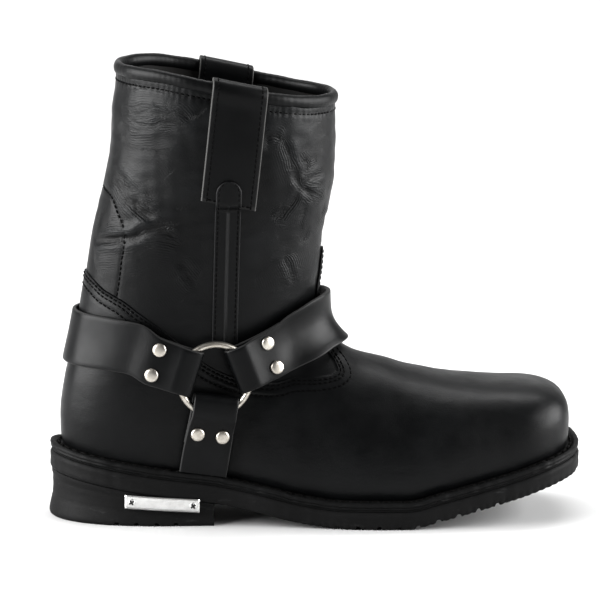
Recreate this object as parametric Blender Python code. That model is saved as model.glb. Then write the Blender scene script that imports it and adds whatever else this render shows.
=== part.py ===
"""Harness boot for the right foot, standing empty on its sole, in metres with +Z up.

The toe points to +X and the outer side of the foot faces -Y. While it is modelled, X = 0 is the
heel back of the last and Z = 0 the floor. The last is one field that is zero on the skin of the
shaft and grows outwards, so every seam, strap and sole edge reads its place from the same shape.
"""
import math
from functools import lru_cache

import bpy
import numpy as np

# Last and upper
FOOT_LENGTH = 0.3015
BALL_WIDTH = 0.0965
INSTEP_HEIGHT = 0.094
UPPER_HEIGHT = 0.224
SHAFT_WIDTH = 0.097
COLLAR_DROP = 0.0163
WALL = 0.0022
OVERLAY = 0.0012
TUCK_HEIGHT = 0.012
TUCK_DEPTH = 0.032
TOE_ROUND = 0.0360
TOE_SLANT = 0.05

# Sole
HEEL_RISE = 0.0285
TOE_SPRING = 0.0290
OUTSOLE = 0.0105
WELT = 0.0057
WELT_REACH = 0.0068
WELT_UNDER = 0.0065
LAYER_GROOVE = 0.0012
HEEL_LENGTH = 0.0885
HEEL_WAIST = 0.0014
BREAST_BOW = 0.004
INSOLE = 0.0032
LUG_PITCH = 0.0115
LUG_GROOVE = 0.0030
LUG_DEPTH = 0.0016
EDGE_ROUND = 0.0012

# Collar roll and pull straps
ROLL_HEIGHT = 0.0072
ROLL_THICK = 0.0056
PULL_WIDTH = 0.0320
PULL_THICK = 0.0024
PULL_LENGTH = 0.0700
PULL_INSIDE = 0.0560
PULL_LIFT = 0.0016
PULL_SEAT = 0.0010
PULL_LEAN = 0.0058
PULL_BEND = 0.0040
TAPE_WIDTH = 0.0150
TAPE_THICK = 0.0012
TAPE_OVER = 0.0150
TAPE_CLEAR = 0.0040
TONGUE_WIDTH = 0.0175
TONGUE_TOP = 0.0250

# Harness
STRAP_WIDTH = 0.0290
LOW_STRAP_WIDTH = 0.0278
STRAP_THICK = 0.0025
RING_OUTER = 0.0455
RING_WIRE = 0.0039
FOLD_REACH = 0.0105
LOW_FOLD_REACH = 0.0086
LOW_SHIFT = 0.0022
FOLD_THICK = 0.0020
FOLD_NARROW = 0.945
STRAP_SEAT = 0.0008
PATH_STEP = 0.0060
STRAIGHT_RUN = 0.0370
LOW_RUN = 0.0800
NEAR_STEP = 0.0120
RETURN_LENGTH = 0.0445
RIVET_ACROSS = 0.0082
RIVET_HEIGHT = 0.0018
RIVET_SPACING = 0.0156
RIVET_REACH = 0.0363
LOW_RIVET_REACH = 0.0335

# Badge plate on the heel
PLATE_LENGTH = 0.0436
PLATE_HEIGHT = 0.0080
PLATE_THICK = 0.0009
PLATE_FROM_BACK = 0.0362
PLATE_LEVEL = 0.0135
PLATE_TILT = -0.06
SCREW_ACROSS = 0.0048
SCREW_HEIGHT = 0.0008

# Clearances
SEAT = 0.0003
CURVED_GAP = 0.0005
WIRE_GAP = 0.0003

# Steps of the searches on the last's field
FIELD_STEP = 0.0002
LONGEST_MOVE = 0.02
FAR_REACH = 0.24

# Steps of the faceting
UPPER_STEPS = 48
SHAFT_ROWS = (0.0, 0.04, 0.09, 0.15, 0.22, 0.31, 0.42, 0.54, 0.66, 0.78, 0.89, 1.0)
SOLE_FAN = 7
SOLE_STATIONS = 34

# Foot sections: share of foot length, outer and inner half width as shares of half the ball width,
# height over the sole as a share of the instep height, and how square the section is
FOOT_SECTIONS = [
    (0.22, 0.56, 0.56, 0.90, 2.0),
    (0.30, 0.66, 0.62, 0.92, 2.0),
    (0.40, 0.79, 0.66, 0.95, 2.0),
    (0.48, 0.88, 0.71, 0.95, 2.0),
    (0.54, 0.95, 0.77, 0.90, 2.0),
    (0.58, 0.99, 0.82, 0.84, 2.0),
    (0.64, 1.01, 0.90, 0.79, 2.0),
    (0.69, 1.00, 0.96, 0.73, 2.1),
    (0.74, 0.97, 0.99, 0.65, 2.2),
    (0.80, 0.91, 0.985, 0.576, 2.4),
    (0.87, 0.83, 0.94, 0.50, 2.6),
    (0.94, 0.78, 0.89, 0.43, 2.8),
    (1.00, 0.75, 0.87, 0.375, 3.0),
]
# Heel, ankle and shaft sections: share of upper height over the heel seat, back and front as
# shares of foot length, outer and inner half width as shares of half the shaft width, squareness
SHAFT_SECTIONS = [
    (-0.02, 0.0100, 0.36, 0.63, 0.62, 2.3),
    (0.03, 0.0050, 0.37, 0.66, 0.645, 2.3),
    (0.07, 0.0045, 0.38, 0.69, 0.67, 2.3),
    (0.15, 0.0105, 0.40, 0.715, 0.695, 2.3),
    (0.23, 0.0225, 0.43, 0.725, 0.71, 2.25),
    (0.31, 0.0345, 0.465, 0.735, 0.72, 2.2),
    (0.39, 0.0440, 0.494, 0.755, 0.74, 2.2),
    (0.47, 0.0510, 0.504, 0.795, 0.78, 2.2),
    (0.55, 0.0600, 0.506, 0.845, 0.83, 2.15),
    (0.63, 0.0740, 0.519, 0.90, 0.885, 2.1),
    (0.71, 0.0860, 0.529, 0.945, 0.93, 2.1),
    (0.79, 0.0935, 0.529, 0.98, 0.97, 2.1),
    (0.87, 0.0965, 0.528, 1.00, 0.995, 2.1),
    (0.95, 0.1030, 0.528, 1.01, 1.01, 2.1),
    (1.02, 0.1040, 0.530, 1.015, 1.015, 2.1),
]
# Underside of the outsole: share of foot length, share of the heel rise, share of the toe spring
SOLE_LINE = [
    (-0.03, 1.02, 0.0),
    (0.00, 0.95, 0.0),
    (0.08, 0.80, 0.0),
    (0.18, 0.625, 0.0),
    (0.29, 0.47, 0.0),
    (0.385, 0.275, 0.0),
    (0.45, 0.12, 0.0),
    (0.51, 0.025, 0.0),
    (0.54, 0.0, 0.0),
    (0.665, 0.0, 0.0),
    (0.735, 0.0, 0.165),
    (0.815, 0.0, 0.37),
    (0.88, 0.0, 0.55),
    (0.94, 0.0, 0.745),
    (0.98, 0.0, 0.865),
    (1.04, 0.0, 1.03),
]
# Sideways place of the ridge towards the inner side, as a share of half the ball width
RIDGE_SWING = [(0.45, 0.0), (0.62, 0.05), (0.78, 0.11), (1.0, 0.09)]
# Collar: share of foot length, share of the collar drop
COLLAR_LINE = [(0.09, 0.0), (0.16, 0.02), (0.25, 0.26), (0.31, 0.48), (0.405, 0.80), (0.49, 0.98), (0.56, 1.0)]
# Upper edge of counter and vamp from the heel back to the instep:
# round the boot (see skin), share of the upper height over the heel seat
SEAM_LINE = [
    (-1.00, 0.450),
    (-0.75, 0.446),
    (-0.41, 0.432),
    (-0.18, 0.412),
    (0.00, 0.397),
    (0.14, 0.359),
    (0.24, 0.330),
    (0.35, 0.296),
    (0.48, 0.250),
    (0.63, 0.208),
    (0.80, 0.181),
    (0.97, 0.174),
    (1.23, 0.186),
    (1.38, 0.186),
    (1.50, 0.189),
    (1.595, 0.197),
    (1.655, 0.222),
    (1.715, 0.252),
    (1.80, 0.283),
    (1.90, 0.303),
    (2.00, 0.310),
]
# Rear strap from behind the ring to the heel: round the boot and share of the upper height, at
# its top and at its bottom edge, and how far it stands off as a share of its thickness
REAR_STRAP = [
    (0.18, 0.333, 0.095, 0.202, 0.0),
    (0.06, 0.342, 0.02, 0.207, 0.05),
    (-0.20, 0.347, -0.20, 0.211, 0.10),
    (-0.60, 0.349, -0.60, 0.212, 0.15),
    (-1.00, 0.350, -1.00, 0.213, 0.20),
]
# Front strap from before the ring to the instep, with the same columns
FRONT_STRAP = [
    (1.08, 0.348, 1.20, 0.212, 0.35),
    (1.30, 0.370, 1.47, 0.237, 0.75),
    (1.52, 0.388, 1.68, 0.258, 1.00),
    (1.76, 0.398, 1.86, 0.268, 1.10),
    (2.00, 0.400, 2.00, 0.270, 1.10),
]
# Ring centre: share of foot length, share of the upper height over the heel seat
RING_PLACE = (0.289, 0.194)
# Directions that the straps leave the ring in, in degrees from the toe, seen from the outer side
REAR_DIRECTION = 163.0
FRONT_DIRECTION = 21.7
LOW_DIRECTION = 262.3
# Pull strap: share of foot length at its foot
PULL_PLACE = 0.3105
# Section of the field's blends: at the instep and on the flanks
INSTEP_BLEND = 0.040
FLANK_BLEND = 0.012
INSTEP_BLEND_WIDTH = 0.030
INSTEP_BLEND_START = 0.090
INSTEP_BLEND_FULL = 0.135
HEEL_END = 0.070
HEEL_END_ROUND = 0.045
# Axes that seams and straps are placed from: behind the first a fan round the heel, then
# straight out to the side, and a fan round the front past the second
HEEL_AXIS = 0.030
FRONT_AXIS = 0.125
TOE_AXIS = 0.262

SEAT_LEVEL = HEEL_RISE + OUTSOLE + WELT
OUTER = -1.0
INNER = 1.0


class Curve:
    """A smooth line through the rows of a table that never overshoots them."""

    def __init__(self, xs, ys):
        self.x = np.array(xs, float)
        self.y = np.array(ys, float)
        step = np.diff(self.x)
        rise = np.diff(self.y) / step
        slope = np.zeros_like(self.x)
        slope[0] = rise[0]
        slope[-1] = rise[-1]
        for i in range(1, len(self.x) - 1):
            if rise[i - 1] * rise[i] > 0.0:
                ahead = 2.0 * step[i] + step[i - 1]
                behind = step[i] + 2.0 * step[i - 1]
                slope[i] = (ahead + behind) / (ahead / rise[i - 1] + behind / rise[i])
        self.slope = slope

    def __call__(self, x):
        x = np.clip(x, self.x[0], self.x[-1])
        i = np.clip(np.searchsorted(self.x, x) - 1, 0, len(self.x) - 2)
        step = self.x[i + 1] - self.x[i]
        t = (x - self.x[i]) / step
        start = (1.0 + 2.0 * t) * (1.0 - t) ** 2 * self.y[i] + t * (1.0 - t) ** 2 * step * self.slope[i]
        end = t * t * (3.0 - 2.0 * t) * self.y[i + 1] + t * t * (t - 1.0) * step * self.slope[i + 1]
        return start + end


def columns(table, *scales):
    """Curves of a table's columns over its first, each scaled to metres."""
    data = np.array(table, float)
    return [Curve(data[:, 0] * scales[0], data[:, i] * scales[i]) for i in range(1, data.shape[1])]


foot_outer, foot_inner, foot_height, foot_square = columns(
    FOOT_SECTIONS, FOOT_LENGTH, BALL_WIDTH / 2, BALL_WIDTH / 2, INSTEP_HEIGHT, 1.0)
shaft_back, shaft_front, shaft_outer, shaft_inner, shaft_square = columns(
    SHAFT_SECTIONS, UPPER_HEIGHT, FOOT_LENGTH, FOOT_LENGTH, SHAFT_WIDTH / 2, SHAFT_WIDTH / 2, 1.0)
heel_line, toe_line = columns(SOLE_LINE, FOOT_LENGTH, HEEL_RISE, TOE_SPRING)
ridge_swing, = columns(RIDGE_SWING, FOOT_LENGTH, BALL_WIDTH / 2)
collar_fall, = columns(COLLAR_LINE, FOOT_LENGTH, COLLAR_DROP)


def underside(x):
    """Height of the outsole's underside at x."""
    return heel_line(x) + toe_line(x)


def sole_top(x):
    """Height of the welt's top at x."""
    return underside(x) + OUTSOLE + WELT


def collar_top(x):
    """Height of the top of the collar roll at x."""
    return SEAT_LEVEL + UPPER_HEIGHT - collar_fall(x)


def ease(value, start, end):
    """Zero before start, one past end and smooth between them."""
    t = np.clip((value - start) / (end - start), 0.0, 1.0)
    return t * t * (3.0 - 2.0 * t)


def rounded(parts, sizes, power):
    """Distance to a rounded body whose parts are shares of its sizes in each direction."""
    weights = [part ** power for part in parts]
    total = np.maximum(sum(weights), 1e-12)
    size = sum(w * s for w, s in zip(weights, sizes)) / total
    return (total ** (1.0 / power) - 1.0) * size


def last(point):
    """Field of the last: zero on the shaft's skin, growing by about a metre for each metre out."""
    x, y, z = point[..., 0], point[..., 1], point[..., 2]
    # Foot
    swing = ridge_swing(x)
    aside = y - swing
    half = np.where(aside < 0.0, foot_outer(x) + swing, foot_inner(x) - swing)
    widest = sole_top(x) + TUCK_HEIGHT
    above = foot_height(x) - TUCK_HEIGHT
    rise = np.where(z > widest, (z - widest) / above, (widest - z) / TUCK_DEPTH)
    to_toe = np.maximum(0.0, (x - TOE_SLANT * aside - FOOT_LENGTH + TOE_ROUND) / TOE_ROUND)
    to_heel = np.maximum(0.0, (HEEL_END - x) / HEEL_END_ROUND)
    foot = rounded(
        (np.abs(aside) / half, np.abs(rise), to_toe, to_heel),
        (half, above, TOE_ROUND, HEEL_END_ROUND), foot_square(x))
    # Heel, ankle and shaft
    level = z - SEAT_LEVEL
    back = shaft_back(level)
    front = shaft_front(level)
    depth = (front - back) / 2.0
    width = np.where(y < 0.0, shaft_outer(level), shaft_inner(level))
    shaft = rounded(
        (np.abs(x - (front + back) / 2.0) / depth, np.abs(y) / width),
        (depth, width), shaft_square(level))
    # Instep
    middle = np.exp(-((y / INSTEP_BLEND_WIDTH) ** 2)) * ease(x, INSTEP_BLEND_START, INSTEP_BLEND_FULL)
    blend = FLANK_BLEND + (INSTEP_BLEND - FLANK_BLEND) * middle
    share = np.clip(0.5 + 0.5 * (shaft - foot) / blend, 0.0, 1.0)
    return shaft + (foot - shaft) * share - blend * share * (1.0 - share)


def outward(point, step=FIELD_STEP):
    """Gradient of the last's field."""
    slopes = []
    for axis in range(3):
        move = np.zeros(3)
        move[axis] = step
        slopes.append((last(point + move) - last(point - move)) / (2.0 * step))
    return np.stack(slopes, -1)


def settle(point, level, flat=False, rounds=8):
    """Points moved along the gradient onto a level of the field, in their own plane if flat."""
    point = np.array(point, float)
    for _ in range(rounds):
        slope = outward(point)
        if flat:
            slope[..., 2] = 0.0
        size = np.maximum((slope ** 2).sum(-1), 1e-6)
        move = (last(point) - level) / size
        limit = LONGEST_MOVE / np.sqrt(size)
        point = point - slope * np.clip(move, -limit, limit)[..., None]
    return point


def reach(origin, direction, level, far=FAR_REACH):
    """Points where rays from inside the last cross a level of its field."""
    near_end = np.zeros(origin.shape[:-1])
    far_end = np.full(origin.shape[:-1], far)
    for _ in range(30):
        middle = (near_end + far_end) / 2.0
        inside = last(origin + direction * middle[..., None]) < level
        near_end = np.where(inside, middle, near_end)
        far_end = np.where(inside, far_end, middle)
    return origin + direction * near_end[..., None]


def back_axis(height):
    """X of the axis of the fan round the heel, which leans with the shaft above the counter."""
    return HEEL_AXIS + np.maximum(0.0, shaft_back(height - SEAT_LEVEL) - shaft_back(UPPER_HEIGHT / 2.0))


def skin(around, height, level, side):
    """Point of a level of the field: around runs from -1 at the heel back through 0 and 1, the two
    axes, to 2 at the front, height is over the floor, side is OUTER or INNER."""
    around, height, level = np.broadcast_arrays(*np.atleast_1d(around, height, level))
    behind = np.clip(-around, 0.0, 1.0)
    before = np.clip(around - 1.0, 0.0, 1.0)
    along = np.clip(around, 0.0, 1.0)
    angle = math.pi / 2 * (1.0 + behind - before)
    start = back_axis(height)
    origin = np.stack([start + (FRONT_AXIS - start) * along, 0.0 * along, height], -1)
    direction = np.stack([np.cos(angle), side * np.sin(angle), 0.0 * angle], -1)
    return reach(origin, direction, level)


def around_at(x, height):
    """Place round the boot of a point on its flank at x."""
    start = back_axis(height)
    return (x - start) / (FRONT_AXIS - start)


def over_seat(share):
    """Height over the floor of a share of the upper height."""
    return SEAT_LEVEL + share * UPPER_HEIGHT


def evened(points, values, count):
    """Values that belong to a line of points, read at even distances along it."""
    steps = np.linalg.norm(np.diff(points, axis=0), axis=1)
    run = np.concatenate([[0.0], np.cumsum(steps)])
    at = np.linspace(0.0, run[-1], count)
    return np.stack([np.interp(at, run, column) for column in values.T], -1)


def even(points, count):
    """Points at even distances along a line of points."""
    return evened(points, points, count)


def closed_ring(half):
    """Ring of points from the outer and the inner half of a line from heel back to front."""
    outer, inner = half(OUTER), half(INNER)
    return np.concatenate([outer, inner[-2:0:-1]])


def footprint_half(side, stations, level, lift):
    """Half the outline of the last where it meets the sole, from heel back to toe."""
    fans = np.linspace(0.0, math.pi / 2, SOLE_FAN, endpoint=False)
    rows = [(HEEL_AXIS, math.pi - turn) for turn in fans]
    rows += [(x, math.pi / 2) for x in stations]
    rows += [(TOE_AXIS, math.pi / 2 - turn) for turn in fans[1:]] + [(TOE_AXIS, 0.0)]
    starts, turns = np.array(rows).T
    swings = np.where(starts > FRONT_AXIS, ridge_swing(starts), 0.0)
    direction = np.stack([np.cos(turns), side * np.sin(turns), 0.0 * turns], -1)
    heights = sole_top(starts) + lift
    for _ in range(4):
        found = reach(np.stack([starts, swings, heights], -1), direction, level)
        heights = sole_top(found[:, 0]) + lift
    found[:, 2] = heights
    return found


def grown(outline, reach_out):
    """A closed outline seen from above, moved outwards by a distance."""
    ahead = np.roll(outline, -1, axis=0) - np.roll(outline, 1, axis=0)
    normal = np.stack([-ahead[:, 1], ahead[:, 0]], -1)
    normal /= np.linalg.norm(normal, axis=1)[:, None]
    middle = outline[:, :2].mean(0)
    if ((outline[:, :2] - middle) * normal).sum() < 0.0:
        normal = -normal
    moved = outline.copy()
    moved[:, :2] += normal * np.broadcast_to(reach_out, len(outline))[:, None]
    return moved


def material(name, colour, roughness, metallic=0.0):
    """A Principled material in one colour."""
    made = bpy.data.materials.new(name)
    made.use_nodes = True
    shader = made.node_tree.nodes["Principled BSDF"]
    shader.inputs["Base Color"].default_value = (*colour, 1.0)
    shader.inputs["Roughness"].default_value = roughness
    shader.inputs["Metallic"].default_value = metallic
    made.diffuse_color = (*colour, 1.0)
    return made


def solid(name, points, faces, finish, sharp=40.0):
    """A closed body from points and faces, with its faces turned outwards."""
    points = np.asarray(points, float)
    volume = 0.0
    for face in faces:
        for i in range(1, len(face) - 1):
            a, b, c = points[face[0]], points[face[i]], points[face[i + 1]]
            volume += np.dot(a, np.cross(b, c))
    if volume < 0.0:
        faces = [face[::-1] for face in faces]
    mesh = bpy.data.meshes.new(name)
    mesh.from_pydata([tuple(p) for p in points], [], [tuple(int(i) for i in face) for face in faces])
    mesh.materials.append(finish)
    mesh.shade_smooth()
    mesh.set_sharp_from_angle(angle=math.radians(sharp))
    made = bpy.data.objects.new(name, mesh)
    bpy.context.scene.collection.objects.link(made)
    return made


def loop_faces(rings, count, wrap):
    """Quads between rings of points, and back to the first ring if wrap."""
    faces = []
    for ring in range(rings if wrap else rings - 1):
        low, high = ring * count, ((ring + 1) % rings) * count
        for i in range(count):
            j = (i + 1) % count
            faces.append((low + i, low + j, high + j, high + i))
    return faces


def tube(name, rings, finish, sharp=40.0):
    """A closed body whose rings join end to end, such as a hoop or a hollow upper."""
    rings = np.array(rings)
    return solid(name, rings.reshape(-1, 3), loop_faces(len(rings), rings.shape[1], True), finish, sharp)


def slab(name, rings, finish, sharp=40.0):
    """A body of stacked outlines, closed below and above by strips from side to side."""
    rings = np.array(rings)
    count = rings.shape[1]
    faces = loop_faces(len(rings), count, False)
    for first, turned in ((0, True), ((len(rings) - 1) * count, False)):
        for i in range(count // 2):
            j = (count - i) % count
            face = [first + i, first + i + 1, first + count - i - 1, first + j]
            face = [v for n, v in enumerate(face) if v not in face[:n]]
            faces.append(tuple(face[::-1]) if turned else tuple(face))
    return solid(name, rings.reshape(-1, 3), faces, finish, sharp)


def bar(name, rings, finish, sharp=40.0):
    """A body of sections along a path, closed by its first and last section."""
    rings = np.array(rings)
    count = rings.shape[1]
    faces = loop_faces(len(rings), count, False)
    faces.append(tuple(range(count))[::-1])
    faces.append(tuple(range((len(rings) - 1) * count, len(rings) * count)))
    return solid(name, rings.reshape(-1, 3), faces, finish, sharp)


def seam_places(level, side, count):
    """Upper edge of counter and vamp on one side: places round the boot and heights."""
    around, share = np.array(SEAM_LINE).T
    index = np.arange(len(around))
    fine = np.linspace(0.0, index[-1], 240)
    places = np.stack([Curve(index, around)(fine), over_seat(Curve(index, share)(fine))], -1)
    return evened(skin(places[:, 0], places[:, 1], level, side), places, count)


def collar_places(level, drop, side, count):
    """The collar's line on one side, a distance under the top of the roll."""
    around = np.linspace(-1.0, 2.0, 181)
    points = skin(around, over_seat(1.0), level, side)
    for _ in range(3):
        points = skin(around, collar_top(points[:, 0]) - drop, level, side)
    return evened(points, np.stack([around, points[:, 2]], -1), count)


def relaxed(rings, fixed, level, passes=14):
    """Rings evened out along the skin, with the first, the last and the fixed ones left in place."""
    rings = rings.copy()
    for _ in range(passes):
        for k in range(1, len(rings) - 1):
            if k in fixed:
                continue
            around = (np.roll(rings[k], 1, axis=0) + np.roll(rings[k], -1, axis=0)) / 2.0
            rings[k] = rings[k] * 0.4 + (rings[k - 1] + rings[k + 1]) * 0.2 + around * 0.2
            rings[k] = settle(rings[k], level, rounds=2)
    return rings


def inset(points, distance, flat=False):
    """Points moved inwards by a true distance, in their own plane if flat."""
    slope = outward(points)
    if flat:
        slope[..., 2] = 0.0
    return points - slope / np.linalg.norm(slope, axis=-1)[..., None] * distance


def between(first, second, count):
    """Rings between two others, without them."""
    shares = np.linspace(0.0, 1.0, count + 2)[1:-1]
    return [first + (second - first) * share for share in shares]


def shaft_rings(shares, steps):
    """Rings of the shaft's skin at shares of the way from the seam up to the collar roll."""
    half = steps // 2 + 1
    rings = []
    for share in shares:

        def line(side):
            low = seam_places(OVERLAY, side, half)
            high = collar_places(0.0, ROLL_HEIGHT + SEAT, side, half)
            at = low + (high - low) * share
            return skin(at[:, 0], at[:, 1] + SEAT * (1.0 - share), 0.0, side)

        rings.append(closed_ring(line))
    return rings


def upper(leather):
    """Hollow upper: counter and vamp stand one overlay proud of the shaft, the wall is open below
    and at the collar."""
    half = UPPER_STEPS // 2 + 1
    stations = np.linspace(HEEL_AXIS, TOE_AXIS, 60)
    feather = closed_ring(lambda side: even(footprint_half(side, stations, OVERLAY, SEAT), half))
    feather[:, 2] = sole_top(feather[:, 0]) + SEAT
    feather = settle(feather, OVERLAY, flat=True)
    widest = settle(feather + np.array([0.0, 0.0, TUCK_HEIGHT * 2.2]), OVERLAY)

    def seam(side):
        at = seam_places(OVERLAY, side, half)
        return skin(at[:, 0], at[:, 1], OVERLAY, side)

    edge = closed_ring(seam)
    rings = between(feather, widest, 2) + [widest] + between(widest, edge, 9)
    lower = [feather] + [settle(ring, OVERLAY) for ring in rings] + [edge]
    lower = list(relaxed(np.array(lower), (3,), OVERLAY))
    outside = lower + shaft_rings(SHAFT_ROWS, UPPER_STEPS)
    end = len(outside) - 1
    inside = []
    first = len(lower)
    for pick in [*range(0, first - 1, 2), *range(first, first + 4), *range(first + 5, end, 2), end]:
        thick = WALL + OVERLAY if pick < first else WALL
        inside.append(inset(outside[pick], thick, pick in (0, end)))
    return tube("upper", outside + inside[::-1], leather, sharp=30.0)


def sole_outline(stations, lift):
    """Outline of the last at the sole, with the underside's height at each point."""
    return closed_ring(lambda side: footprint_half(side, stations, OVERLAY, lift))


def layer(outline, reach_out, height):
    """An outline grown sideways and set at a height over the outsole's underside."""
    ring = grown(outline, reach_out)
    ring[:, 2] = underside(ring[:, 0]) + height
    return ring


def welt(rubber):
    """Welt strip round the whole boot, with a rounded lip and a rib below it."""
    outline = sole_outline(np.linspace(HEEL_AXIS, TOE_AXIS, SOLE_STATIONS), SEAT)
    base = OUTSOLE + SEAT
    top = OUTSOLE + WELT
    profile = [
        (-WELT_UNDER, top),
        (WELT_REACH - EDGE_ROUND, top),
        (WELT_REACH, base + WELT * 0.45),
        (WELT_REACH - LAYER_GROOVE, base + WELT * 0.30),
        (WELT_REACH - LAYER_GROOVE, base),
        (-WELT_UNDER, base),
    ]
    return tube("welt", [layer(outline, grow, height) for grow, height in profile], rubber, sharp=25.0)


def lug_edges(start, end):
    """Stations of the tread's grooves between two places, with each edge doubled."""
    edges = []
    x = start
    while x + LUG_GROOVE < end:
        edges += [(x, 0.0), (x + SEAT, 1.0), (x + LUG_GROOVE - SEAT, 1.0), (x + LUG_GROOVE, 0.0)]
        x += LUG_PITCH
    return edges


def grooved(ring, edges):
    """Depth of the tread's grooves at each point of a ring."""
    xs, depths = np.array(edges).T
    return np.interp(ring[:, 0], xs, depths, left=0.0, right=0.0) * LUG_DEPTH


def outsole(rubber):
    """Outsole with arch, toe spring and cross grooves under the forefoot."""
    edges = lug_edges(FOOT_LENGTH * 0.53, TOE_AXIS)
    plain = np.linspace(HEEL_AXIS, FOOT_LENGTH * 0.52, SOLE_STATIONS // 2)
    outline = sole_outline(sorted(set(plain) | {x for x, _ in edges} | {TOE_AXIS}), SEAT)
    rows = [
        (WELT_REACH - EDGE_ROUND, 0.0),
        (WELT_REACH, EDGE_ROUND),
        (WELT_REACH, OUTSOLE - EDGE_ROUND * 1.2),
        (WELT_REACH - LAYER_GROOVE, OUTSOLE),
    ]
    rings = [layer(outline, grow, height) for grow, height in rows]
    cut = grooved(outline, edges)
    rings[0][:, 2] += cut
    rings[1][:, 2] += cut
    return slab("outsole", rings, rubber, sharp=25.0)


def heel(rubber):
    """Heel block under the back of the outsole, waisted at the back, with a bowed breast."""
    edges = lug_edges(HEEL_AXIS + SEAT, HEEL_LENGTH - LUG_PITCH)
    xs = sorted({x for x, _ in edges if x > HEEL_AXIS} | {HEEL_AXIS, HEEL_LENGTH})
    outline = sole_outline(np.array(xs + [HEEL_LENGTH + LUG_PITCH, TOE_AXIS]), SEAT)
    side = SOLE_FAN + len(xs)
    shares = np.linspace(0.0, 1.0, 7)[1:-1]

    def ring(grow, height, on_floor):
        full = grown(outline, grow)
        half_out, half_in = full[:side], full[len(outline) - side + 1:]
        start, end = half_out[-1], half_in[0]
        breast = start + (end - start) * shares[:, None]
        breast[:, 0] -= BREAST_BOW * 4.0 * shares * (1.0 - shares)
        made = np.concatenate([half_out, breast, half_in])
        made[:, 2] = height if on_floor else underside(made[:, 0]) - SEAT - height
        return made

    cut = grooved(ring(0.0, 0.0, True), edges)
    bottom = ring(WELT_REACH - EDGE_ROUND * 0.3, 0.0, True)
    bottom[:, 2] += cut
    low = ring(WELT_REACH + EDGE_ROUND * 0.3, EDGE_ROUND, True)
    low[:, 2] += cut
    mid = ring(WELT_REACH, 0.0, False)
    mid[:, 2] *= 0.45
    waist = ring(WELT_REACH - HEEL_WAIST, 0.0, False)
    waist[:, 2] *= 0.85
    top = ring(WELT_REACH - HEEL_WAIST * 0.6, 0.0, False)
    rings = np.array([bottom, low, mid, waist, top])
    count = rings.shape[1]
    faces = loop_faces(len(rings), count, False)
    corner = side - 1
    pairs = [(i, (count - i) % count) for i in range(corner)]
    for first, turned in ((0, True), ((len(rings) - 1) * count, False)):
        for (a, b), (c, d) in zip(pairs, pairs[1:]):
            face = [first + a, first + c, first + d, first + b]
            face = [v for n, v in enumerate(face) if v not in face[:n]]
            faces.append(tuple(face[::-1]) if turned else tuple(face))
        end = tuple(first + i for i in range(corner - 1, count - corner + 2))
        faces.append(end[::-1] if turned else end)
    return solid("heel", rings.reshape(-1, 3), faces, rubber, sharp=25.0)


def insole(board):
    """Insole inside the upper's wall, stepped down into the welt strip."""
    outline = sole_outline(np.linspace(HEEL_AXIS, TOE_AXIS, SOLE_STATIONS), SEAT)
    step_in = -WALL - OVERLAY - CURVED_GAP
    rows = [
        (-WELT_UNDER - CURVED_GAP, OUTSOLE + SEAT),
        (-WELT_UNDER - CURVED_GAP, OUTSOLE + WELT + SEAT),
        (step_in - CURVED_GAP, OUTSOLE + WELT + SEAT),
        (step_in - CURVED_GAP, OUTSOLE + WELT + INSOLE),
    ]
    return slab("insole", [layer(outline, grow, height) for grow, height in rows], board)


def collar_roll(leather):
    """Rolled binding on the collar's edge."""
    middle = -WALL / 2.0
    half = ROLL_THICK / 2.0
    turns = np.linspace(0.0, 2.0 * math.pi, 7, endpoint=False)
    rings = []
    for turn in turns:
        level = middle + half * math.cos(turn)
        drop = ROLL_HEIGHT / 2.0 - ROLL_HEIGHT / 2.0 * math.sin(turn)

        def line(side):
            at = collar_places(level, drop, side, UPPER_STEPS // 2 + 1)
            return skin(at[:, 0], at[:, 1], level, side)

        rings.append(closed_ring(line))
    return tube("collar_roll", rings, leather)


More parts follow.
